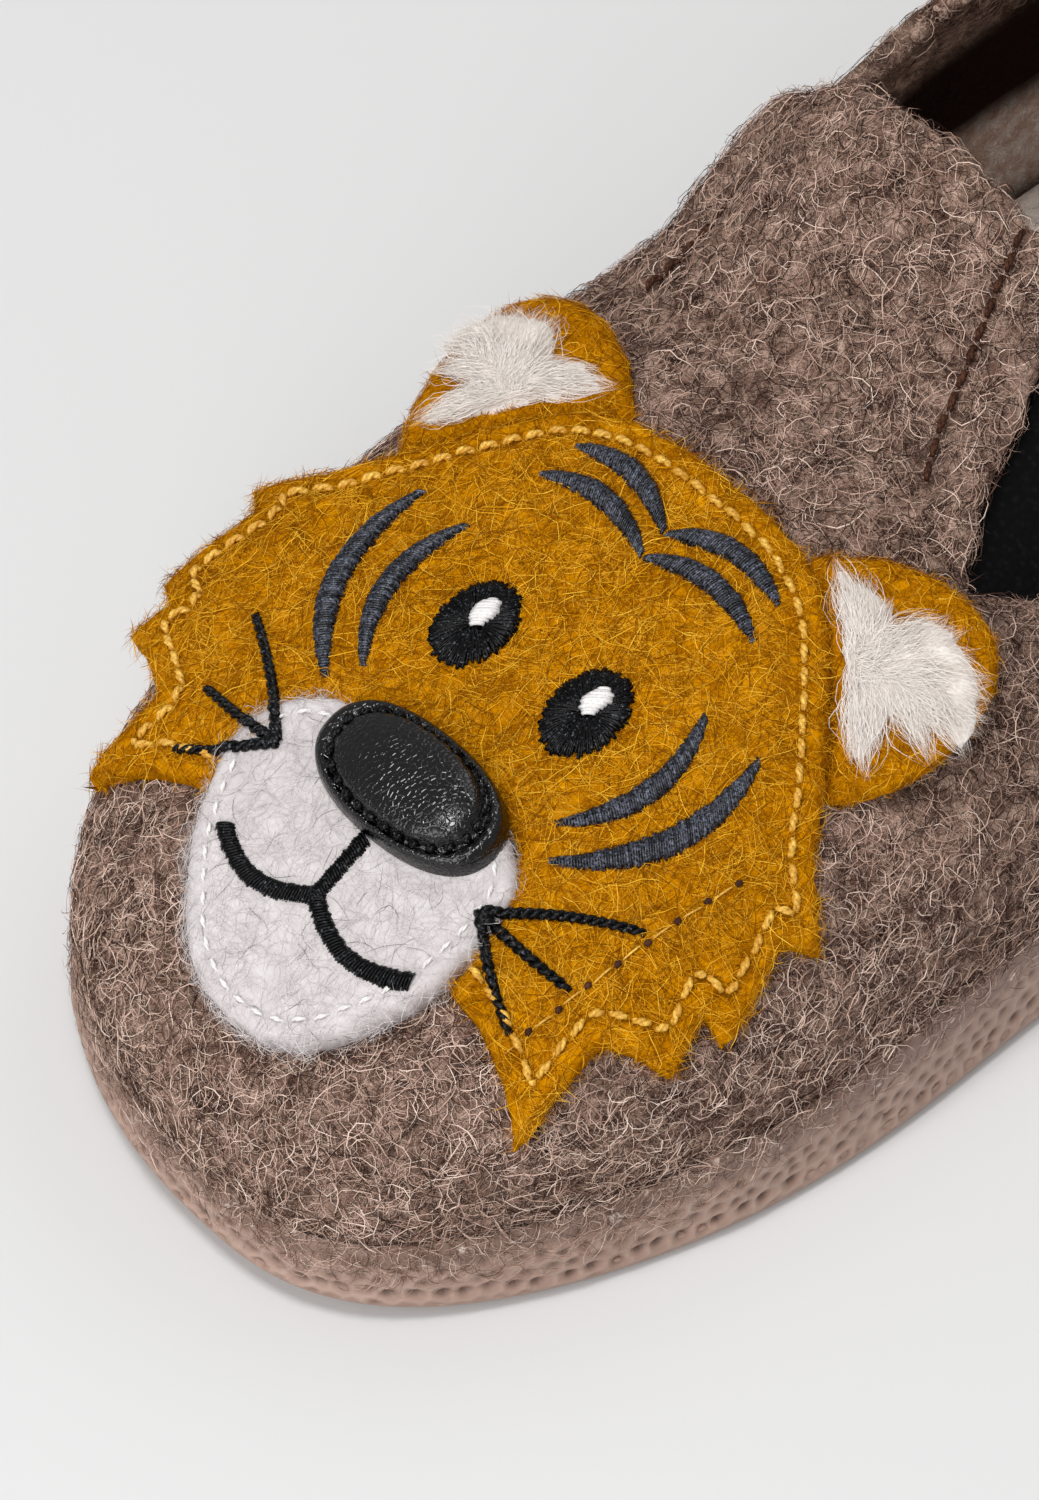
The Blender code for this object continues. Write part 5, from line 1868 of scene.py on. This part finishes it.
    def mouth(self) -> None:
        """Stitch the stem and the two arcs."""
        satin = Satin(self.face, crown=0.8)
        rng = np.random.default_rng(70)
        pile = MeshPile()
        stem = np.array([(0.0, self.mouth_top), (0.0, self.mouth_joint - 0.4)])
        for line in (stem, self.mouth_line(Side.LEFT), self.mouth_line(Side.RIGHT)):
            rows = evenly(line, satin.pitch)
            along = unit(np.gradient(rows, axis=0))
            reach = (quarter_turn(along) + along * self.slant) * self.mouth_half
            satin.fill(pile, rows - reach, rows + reach, MUZZLE_TOP, rng)
        dress(pile.make("mouth_threads"), Finishes.black_thread, ["mouth"])

    def whiskers(self, lift: Lift) -> None:
        """Lay three twisted threads on each cheek.

        Args:
            lift: Lift of the mask under flat places.
        """
        pile = MeshPile()
        rng = np.random.default_rng(80)
        t = np.linspace(0.0, 1.0, 46)
        radii = self.whisker_radius * (1.0 - 0.35 * t)
        sink = 0.5 * np.clip((t - 0.94) / 0.06, 0.0, 1.0)
        root = np.array(self.whisker_root)
        for side in Side:
            for tip, bow in self.whisker_tips:
                run = np.array(tip) - root
                length = np.linalg.norm(run)
                aside = quarter_turn(run) / length
                flat = root + run * t[:, None] + aside * (bow * np.sin(math.pi * t))[:, None]
                flat = flat * side.flip
                normals = self.face.normal(flat)
                rise = np.maximum(lift(flat), self.whisker_low) + self.whisker_rise - sink
                middle = self.face.lay(flat, rise)
                for ply in range(2):
                    angle = 2 * math.pi * (t * length / self.whisker_twist + ply / 2)
                    path = wound(middle, normals, angle, self.whisker_ply * MM)
                    pile.tubes(path[None], normals[None], radii[None], rng.uniform(0.5, 1.0, 1), sides=6)
        dress(pile.make("whiskers"), Finishes.black_thread)


@dataclass
class Nose:
    """Padded black leather oval with a stitched rim."""

    face: FaceMap
    middle: Flat = (0.1, -15.2)
    half: Flat = (10.8, 5.95)
    power: float = 2.3
    around: int = 120
    rings: int = 44
    rim: float = 1.7
    dome: float = 3.6
    groove: float = 0.8
    groove_depth: float = 0.55
    pucker: float = 0.22
    skirt: float = 1.2
    tilt: float = 0.2
    stitches: int = 26
    step_low: float = -11.0
    step_high: float = -9.0

    def base(self, up: Array) -> Array:
        """Lift of what lies under the nose."""
        share = smooth((up - self.step_low) / (self.step_high - self.step_low))
        return 0.3 + MUZZLE_TOP + (HEAD_TOP - MUZZLE_TOP) * share

    def height(self, share: Array) -> Array:
        """Height of the pad at a share of its size, from the middle to the edge."""
        swell = self.dome * np.sqrt(np.maximum(1.0 - (share / 0.98) ** 3.0, 0.0))
        rim = self.rim * np.sqrt(np.maximum(1.0 - np.clip((share - 0.9) / 0.1, 0.0, 1.0) ** 2, 0.0))
        blend = smooth((share - self.groove + 0.04) / 0.1)
        groove = self.groove_depth * np.exp(-(((share - self.groove) / 0.045) ** 2))
        return swell * (1 - blend) + rim * blend - groove

    def flat(self, share: Array, angle: Array) -> Array:
        """Flat places at shares of the oval's size and angles."""
        p = self.power
        reach = (np.abs(np.cos(angle)) ** p + np.abs(np.sin(angle)) ** p) ** (-1.0 / p)
        across = self.middle[0] + self.half[0] * share * reach * np.cos(angle)
        up = self.middle[1] + self.half[1] * share * reach * np.sin(angle)
        return np.stack([across, up], axis=-1)

    def lift(self, flat: Array, share: float) -> Array:
        """Lift of the pad's face at one share of its size."""
        return self.base(flat[..., 1]) + self.height(np.array(share))

    def dress(self) -> None:
        """Build the pad and sew its rim."""
        share = np.linspace(0.0, 1.0, self.rings + 1)
        angle = np.linspace(0.0, 2 * math.pi, self.around + 1)
        flat = self.flat(share[:, None], angle[None, :])
        tilt = 1.0 + self.tilt * flat[..., 0] / self.half[0]
        pucker = self.pucker * np.exp(-(((share - self.groove) / 0.06) ** 2))[:, None]
        pucker = pucker * np.cos(self.stitches * angle)[None]
        lift = self.base(flat[..., 1]) + self.height(share)[:, None] * tilt + pucker
        skirt = flat[-1:]
        lift = np.concatenate([lift, self.base(skirt[..., 1]) - self.skirt])
        flat = np.concatenate([flat, skirt])
        piece = add_grid("nose_pad", self.around, self.rings + 1)
        place_points(piece, self.face.lay(flat, lift).reshape(-1, 3))
        close_seams(piece)
        dress(piece, Finishes.leather, ["nose"])
        pile = MeshPile()
        rng = np.random.default_rng(90)
        line = self.flat(np.array(self.groove), np.linspace(0.0, 2 * math.pi, 160))
        stitches = Stitches(self.face, pitch=walk(line)[-1] / self.stitches, gap=0.8, radius=0.36)
        stitches.sew(pile, line, lambda places: self.lift(places, self.groove), rng)
        dress(pile.make("nose_stitches"), Finishes.black_thread)


# Places of the ear: along its base and out from it.
EAR_EDGE: list[Flat] = [
    (-11.6, 0.0), (-11.1, 4.8), (-9.4, 9.4), (-6.6, 12.8), (-3.0, 14.6), (1.0, 14.2), (4.8, 12.0),
    (8.2, 8.6), (10.8, 4.4), (12.0, 0.0),
]
EAR_ENDS: Flat = (EAR_EDGE[0][0], EAR_EDGE[-1][0])
FUR_EDGE: list[Flat] = [
    (-10.2, 0.2), (-8.6, 2.6), (-7.2, 4.4), (-5.7, 5.0), (-4.4, 5.4), (-4.8, 8.4), (-4.4, 10.4),
    (-2.6, 11.4), (0.8, 13.0), (4.4, 12.4), (7.2, 10.8), (6.0, 9.8), (4.0, 8.9), (4.6, 7.6), (6.4, 7.4),
    (4.6, 6.2), (4.6, 4.6), (6.8, 3.4), (9.4, 1.8), (8.4, 0.5), (4.0, 0.4), (-4.0, 0.2),
]
FUR_LOCKS: list[tuple[Flat, Flat]] = [
    ((-3.5, 1.7), (-10.4, 0.4)), ((-3.0, 2.5), (-8.8, 2.8)), ((-2.5, 3.2), (-6.4, 5.0)),
    ((-4.5, 1.7), (-8.0, 1.6)), ((-0.5, 3.5), (-5.0, 10.2)), ((-0.5, 4.5), (-3.6, 11.6)),
    ((-1.0, 3.5), (-4.6, 8.0)), ((-1.0, 3.0), (-3.4, 6.4)), ((0.3, 5.0), (-1.2, 12.6)),
    ((0.5, 5.5), (1.0, 13.8)), ((1.0, 6.0), (3.0, 13.6)), ((1.5, 6.0), (4.8, 13.2)),
    ((2.0, 6.0), (6.2, 12.4)), ((2.5, 7.0), (8.0, 11.2)), ((1.0, 5.5), (0.4, 9.6)),
    ((1.8, 5.5), (3.4, 10.0)), ((2.0, 5.0), (8.8, 7.9)), ((2.5, 5.5), (6.6, 7.2)),
    ((3.0, 1.7), (10.1, 1.9)), ((2.0, 2.5), (7.4, 3.2)), ((3.0, 1.4), (8.8, 1.0)),
    ((1.5, 3.0), (4.8, 4.8)), ((-1.0, 1.3), (-4.8, 1.2)), ((0.5, 1.3), (4.4, 1.4)),
    ((-0.5, 1.6), (-1.4, 5.6)), ((0.8, 1.8), (1.8, 6.4)),
]


@dataclass
class Ear:
    """Felt ear with long white pile in it."""

    face: FaceMap
    side: Side
    brow: Flat = (13.1, 28.5)
    cheek: Flat = (29.9, 12.3)
    raise_angle: float = math.radians(4.0)
    thickness: float = 2.0
    gap: float = 0.4
    tuck: float = 2.0
    rim: float = 1.2
    rim_share: float = 0.15
    tuck_share: float = 0.35
    lock_hairs: int = 140
    fur_height: float = 1.5
    fur_rim: float = 2.6
    fur_start: float = 0.7
    felt_fibres: int = 3000
    kind: FuzzKind = FuzzKind(
        length=(2.0, 5.0), curl_radius=(1.8, 7.0), lift=0.25, width=(0.03, 0.085), points=5
    )

    def __post_init__(self) -> None:
        """Find the ear's own directions at the middle of its base."""
        run = np.array(self.cheek) - np.array(self.brow)
        middle = (np.array(self.brow) + np.array(self.cheek)) / 2 * self.side.flip
        out = self.face.normal(middle)
        over = unit(self.face.read(self.face.over, middle))
        along = np.cross(out, over)
        reach = np.linalg.norm(run)
        away = (-run[1] * self.side.value * over + run[0] * along) / reach
        turn = self.raise_angle
        self.away = math.cos(turn) * away + math.sin(turn) * out
        self.raised = math.cos(turn) * out - math.sin(turn) * away
        self.sideways = np.cross(self.raised, self.away)

    def place(self, along: Array, out: Array, height: Array) -> Array:
        """Place points of the ear, in metres.

        Args:
            along: Distances along the base.
            out: Distances out from the base.
            height: Heights above the ear's underside.

        Returns:
            Points in the part's frame.
        """
        share = (along - EAR_ENDS[0]) / (EAR_ENDS[1] - EAR_ENDS[0])
        brow, cheek = np.array(self.brow), np.array(self.cheek)
        flat = (brow + (cheek - brow) * share[..., None]) * self.side.flip
        base = self.face.lay(flat, np.full_like(share, self.gap))
        return base + (self.away * out[..., None] + self.raised * height[..., None]) * MM

    def plate(self) -> Piece:
        """Model the felt plate with its rounded edge and cupped middle."""
        tuck = [(end, -self.tuck) for end in reversed(EAR_ENDS)]
        outline = evenly_round(np.array([*EAR_EDGE, *tuck]), 0.8)
        piece = cut_sheet("ear_felt_" + self.side.label, outline, 0.9)
        flat = points_of(piece)[:, :2]
        near = np.clip(distance_to(outline, flat, closed=True) / self.rim, 0.0, 1.0)
        height = self.thickness * (self.rim_share + (1.0 - self.rim_share) * dome(near))
        height = height * np.where(flat[:, 1] < 0.0, self.tuck_share, 1.0)
        place_points(piece, self.place(flat[:, 0], np.maximum(flat[:, 1], -self.tuck), height))
        thicken(piece, self.raised, lump=0.3, lump_size=3.0, thickness=self.thickness * 0.9)
        return piece

    def mound(self) -> Piece:
        """Model the matted ground of the pile."""
        outline = evenly_round(np.array(FUR_EDGE), 0.7)
        piece = cut_sheet("ear_pile_ground_" + self.side.label, outline, 0.8)
        flat = points_of(piece)[:, :2]
        near = np.clip(distance_to(outline, flat, closed=True) / self.fur_rim, 0.0, 1.0)
        height = self.thickness - 0.3 + self.fur_height * (1.0 - (1.0 - near) ** 2)
        place_points(piece, self.place(flat[:, 0], flat[:, 1], height))
        thicken(piece, self.raised, lump=1.1, lump_size=2.2, thickness=0.6)
        set_attribute(piece, "tint", np.full(len(piece.data.vertices), 0.8))
        return piece

    def fur(self, rng: Random) -> Piece:
        """Grow the pile in locks, each from its root to its tip."""
        pile = MeshPile()
        t = np.linspace(0.0, 1.0, 7)
        for start, end in FUR_LOCKS:
            count = self.lock_hairs
            around = rng.normal(0.0, 1.0, (count, 2))
            root = np.array(start) + around * np.array([0.8, 0.6])
            root[:, 1] = np.maximum(root[:, 1], self.fur_start)
            tip = np.array(end) + around * 0.25 + rng.normal(0.0, 0.16, (count, 2))
            run = (tip - root) * rng.uniform(0.5, 1.06, (count, 1))
            aside = quarter_turn(run)
            bow = rng.normal(0.0, 0.12, count)[:, None] * np.sin(math.pi * t)[None]
            bow = bow + rng.normal(0.0, 0.06, count)[:, None] * np.sin(2 * math.pi * t)[None]
            flat = root[:, None] + run[:, None] * t[None, :, None] + aside[:, None] * bow[..., None]
            low = self.thickness + rng.uniform(0.5, 1.0, count) * self.fur_height
            arc = rng.uniform(0.1, 0.6, count)[:, None] * np.sin(math.pi * 0.8 * t)[None]
            height = low[:, None] * (1.0 - 0.26 * t ** 2)[None] + arc
            path = self.place(flat[..., 0], flat[..., 1], height)
            tangent = unit(np.gradient(path, axis=1))
            across = unit(np.cross(tangent, np.broadcast_to(self.raised, tangent.shape)))
            twist = rng.normal(0.0, 0.5, (count, 1, 1))
            across = across * np.cos(twist) + self.raised * np.sin(twist)
            widths = rng.uniform(0.035, 0.07, count)[:, None] * (1.0 - 0.8 * t ** 2)[None]
            pile.ribbons(path, across, widths, np.clip(rng.normal(0.75, 0.16, count), 0.0, 1.0))
        return pile.make("ear_pile_" + self.side.label)

    def dress(self) -> None:
        """Build the ear and its pile."""
        label = self.side.label
        rng = np.random.default_rng(100 + self.side.value)
        plate = self.plate()
        fuzz = Fuzz(plate, seed=110 + self.side.value)
        roots, normals = fuzz.roots(self.felt_fibres, lambda m, f: (f @ self.raised) > -0.2)
        tints = np.clip(rng.normal(0.45, 0.3, len(roots)), 0.1, 1.0)
        fibres = fuzz.grow("ear_fibres_" + label, roots, normals, self.kind, tints)
        dress(fibres, Finishes.mustard_fibres)
        dress(plate, Finishes.mustard, ["ear_" + label])
        dress(self.fur(rng), Finishes.pile)
        dress(self.mound(), Finishes.pile, ["ear_fur_" + label])


@dataclass
class Face:
    """Mask and muzzle with their stitches and fibres."""

    face: FaceMap
    stitch_inset: float = 2.7
    muzzle_inset: float = 2.2
    head_fibres: int = 20000
    muzzle_fibres: int = 3200
    kind: FuzzKind = FuzzKind(
        length=(2.6, 6.5), curl_radius=(2.5, 10.0), lift=0.25, width=(0.03, 0.085), points=5
    )
    muzzle_kind: FuzzKind = FuzzKind(
        length=(2.0, 5.0), curl_radius=(1.6, 6.0), lift=0.2, width=(0.025, 0.045), points=6
    )
    rim_fibres: int = 1300
    rim_width: float = 1.1
    rim_kind: FuzzKind = FuzzKind(
        length=(1.6, 4.0), curl_radius=(1.2, 5.0), lift=0.9, width=(0.03, 0.05), points=5, stray=0.6
    )
    tone_spread: float = 0.3
    dark_hairs: int = 130
    cheek_line: tuple[Flat, Flat] = ((28.6, 0.7), (23.0, -25.6))
    cheek_pitch: float = 3.4

    def dress(self) -> Lift:
        """Build mask and muzzle.

        Returns:
            Lift of mask and muzzle under flat places.
        """
        outline = head_outline()
        rim = pulled_in(joined(HEAD_LEFT, HEAD_RIGHT), self.stitch_inset)
        half = len(HEAD_LEFT)
        order = np.concatenate([rim[half:], rim[:half]])
        seam = SeamLine(order, 0.55, 0.9)
        head = FeltPatch(self.face, "mask_felt", outline, HEAD_TOP, seams=[seam], lump=0.2, flare=3.0)
        mask = head.build()
        self.fuzz(mask, self.head_fibres, 21, "mask_fibres", Finishes.mustard_fibres, "mustard", 0.5)
        dress(mask, Finishes.mustard, ["head"])
        edge = muzzle_outline()
        muzzle_line = pulled_in(edge, self.muzzle_inset)
        closed = np.vstack([muzzle_line, muzzle_line[:1]])
        muzzle = FeltPatch(
            self.face, "muzzle_felt", edge, MUZZLE_TOP, lump=0.05, seams=[SeamLine(closed, 0.3, 0.6)]
        )
        patch = muzzle.build()
        self.fuzz(patch, self.muzzle_fibres, 22, "muzzle_fibres", Finishes.muzzle_fibres, "muzzle", 0.6)
        self.rim(patch, edge)
        dress(patch, Finishes.muzzle, ["muzzle"])
        rng = np.random.default_rng(23)
        pile = MeshPile()
        Stitches(self.face, pitch=2.25, gap=0.45, radius=0.28, rise=0.26).sew(pile, order, head.lift, rng)
        dress(pile.make("mask_stitches"), Finishes.gold_thread)
        pile = MeshPile()
        Stitches(self.face, pitch=2.2, radius=0.16, rise=0.0).sew(pile, closed, muzzle.lift, rng)
        dress(pile.make("muzzle_stitches"), Finishes.white_thread)
        self.cheek_seam(head.lift)
        return lambda flat: np.where(
            inside(edge, flat), np.maximum(muzzle.lift(flat), head.lift(flat)), head.lift(flat)
        )

    def rim(self, piece: Piece, outline: Array) -> None:
        """Let fibres stand out round the muzzle's edge.

        Args:
            piece: The muzzle.
            outline: Its flat outline.
        """
        fuzz = Fuzz(piece, 25)
        flat, away = self.face.flatten(points_of(piece))
        edge = (distance_to(outline, flat, closed=True) < self.rim_width) & (away > 0.4)
        used = edge[fuzz.corners].all(axis=1)
        roots, normals = fuzz.roots(self.rim_fibres, lambda m, f: used)
        tints = np.clip(fuzz.rng.normal(0.8, 0.15, len(roots)), 0.12, 1.0)
        fibres = fuzz.grow("muzzle_rim_fibres", roots, normals, self.rim_kind, tints)
        dress(fibres, Finishes.muzzle_fibres)

    def cheek_seam(self, lift: Lift) -> None:
        """Sew the fine line with its needle holes across the left cheek.

        Args:
            lift: Lift of the mask under flat places.
        """
        rng = np.random.default_rng(24)
        holes, threads = MeshPile(), MeshPile()
        line = np.array(self.cheek_line)
        pitch = self.cheek_pitch
        hole = Stitches(self.face, pitch=pitch, gap=2.9, radius=0.34, plies=1, rise=-0.05)
        hole.sew(holes, line, lift, rng)
        thread = Stitches(self.face, pitch=pitch, gap=0.9, radius=0.12, plies=1, rise=0.02)
        thread.sew(threads, line + unit(line[-1:] - line[:1]) * pitch / 2, lift, rng)
        dress(holes.make("cheek_holes"), Finishes.brown_thread)
        dress(threads.make("cheek_stitches"), Finishes.gold_thread)

    def fuzz(
        self, piece: Piece, count: int, seed: int, name: str, finish: Finish,
        slot: str, tint: float,
    ) -> None:
        """Grow loose fibres on a felt patch.

        Args:
            piece: The patch.
            count: Number of fibres.
            seed: Seed of their random numbers.
            name: Name of the new piece.
            finish: Its finish.
            slot: Which patch this is; the muzzle gets dark hairs and its own finer fibres.
            tint: Middle of the fibres' shades.
        """
        fuzz = Fuzz(piece, seed)
        _, away = self.face.flatten(points_of(piece))
        used = (away > 0.5)[fuzz.corners].all(axis=1)
        roots, normals = fuzz.roots(count, lambda m, f: used & (f[:, 2] > -0.3))
        pale = fuzz.rng.choice([-1.0, 1.0], count)
        tints = np.clip(tint + pale * self.tone_spread + fuzz.rng.normal(0.0, 0.1, count), 0.12, 1.0)
        kind = self.kind
        if slot == "muzzle":
            tints[: self.dark_hairs] = 0.0
            kind = self.muzzle_kind
        dress(fuzz.grow(name, roots, normals, kind, tints), finish)


class Lamp(NamedTuple):
    """A soft square light, to the right of, in front of and above the target, seen from the camera."""

    name: str
    offset_m: tuple[float, float, float]
    size_m: float
    watts: float


@dataclass
class Studio:
    """Pale floor, soft lights and the camera at the photo's angle."""

    last: Last
    azimuth: float = math.radians(46.53)
    elevation: float = math.radians(50.74)
    distance_m: float = 0.7642
    target: tuple[float, float, float] = (-0.7, 47.6, 25.0)
    focal_pixels: float = 8231.5
    frame_height: int = 1500
    sensor: float = 36.0
    world: float = 0.36
    lamps: tuple[Lamp, ...] = (
        Lamp("top", (-0.14, 0.2, 1.2), size_m=0.36, watts=6.6),
        Lamp("front", (-0.42, 0.72, 0.54), size_m=0.8, watts=6.6),
        Lamp("far", (0.5, -0.6, 0.8), size_m=0.6, watts=1.6),
    )

    def build(self) -> None:
        """Add the floor, the lights and the camera."""
        scene = bpy.context.scene
        scene.view_settings.view_transform = "Standard"
        deselect_all()
        bpy.ops.mesh.primitive_plane_add(size=6.0)
        floor = just_added("floor")
        floor.data.materials.append(Finishes.floor.material())
        world = bpy.data.worlds.new("studio")
        world.use_nodes = True
        background = world.node_tree.nodes["Background"]
        background.inputs["Color"].default_value = (1.0, 1.0, 1.0, 1.0)
        background.inputs["Strength"].default_value = self.world
        scene.world = world
        target = Vector(self.last.place(np.array(self.target)))
        right = Vector((math.cos(self.azimuth), math.sin(self.azimuth), 0.0))
        back = Vector((math.sin(self.azimuth), -math.cos(self.azimuth), 0.0))
        upward = Vector((0.0, 0.0, 1.0))
        for lamp in self.lamps:
            aside, ahead, above = lamp.offset_m
            self.light(lamp, right * aside + back * ahead + upward * above, target)
        data = bpy.data.cameras.new("camera")
        data.sensor_width = self.sensor
        data.lens = self.focal_pixels * self.sensor / self.frame_height
        camera = bpy.data.objects.new("camera", data)
        toward = back * math.cos(self.elevation) + upward * math.sin(self.elevation)
        camera.location = target + toward * self.distance_m
        camera.rotation_euler = toward.to_track_quat("Z", "Y").to_euler()
        scene.collection.objects.link(camera)
        scene.camera = camera

    def light(self, lamp: Lamp, offset: Vector, target: Vector) -> None:
        """Add a lamp that looks at the target."""
        data = bpy.data.lights.new(lamp.name, "AREA")
        data.size = lamp.size_m
        data.energy = lamp.watts
        piece = bpy.data.objects.new(lamp.name, data)
        piece.location = target + offset
        piece.rotation_euler = offset.to_track_quat("Z", "Y").to_euler()
        bpy.context.scene.collection.objects.link(piece)


def main() -> None:
    """Build and dress the slipper from the sole up, then the studio."""
    logging.basicConfig(level=logging.INFO, format="%(message)s")
    last = Last()
    face = FaceMap(last)
    Studio(last).build()
    Outsole(last).dress()
    Insole().dress()
    covers = [pulled_in(outline, COVER_INSET) for outline in (head_outline(), muzzle_outline())]
    Upper(last, face).dress(covers)
    for side in Side:
        Gusset(side).dress()
        Ear(face, side).dress()
    mask_lift = Face(face).dress()
    Nose(face).dress()
    embroidery = Embroidery(face)
    embroidery.stripes()
    embroidery.eyes()
    embroidery.mouth()
    embroidery.whiskers(mask_lift)
    deselect_all()


if __name__ == "__main__":
    main()
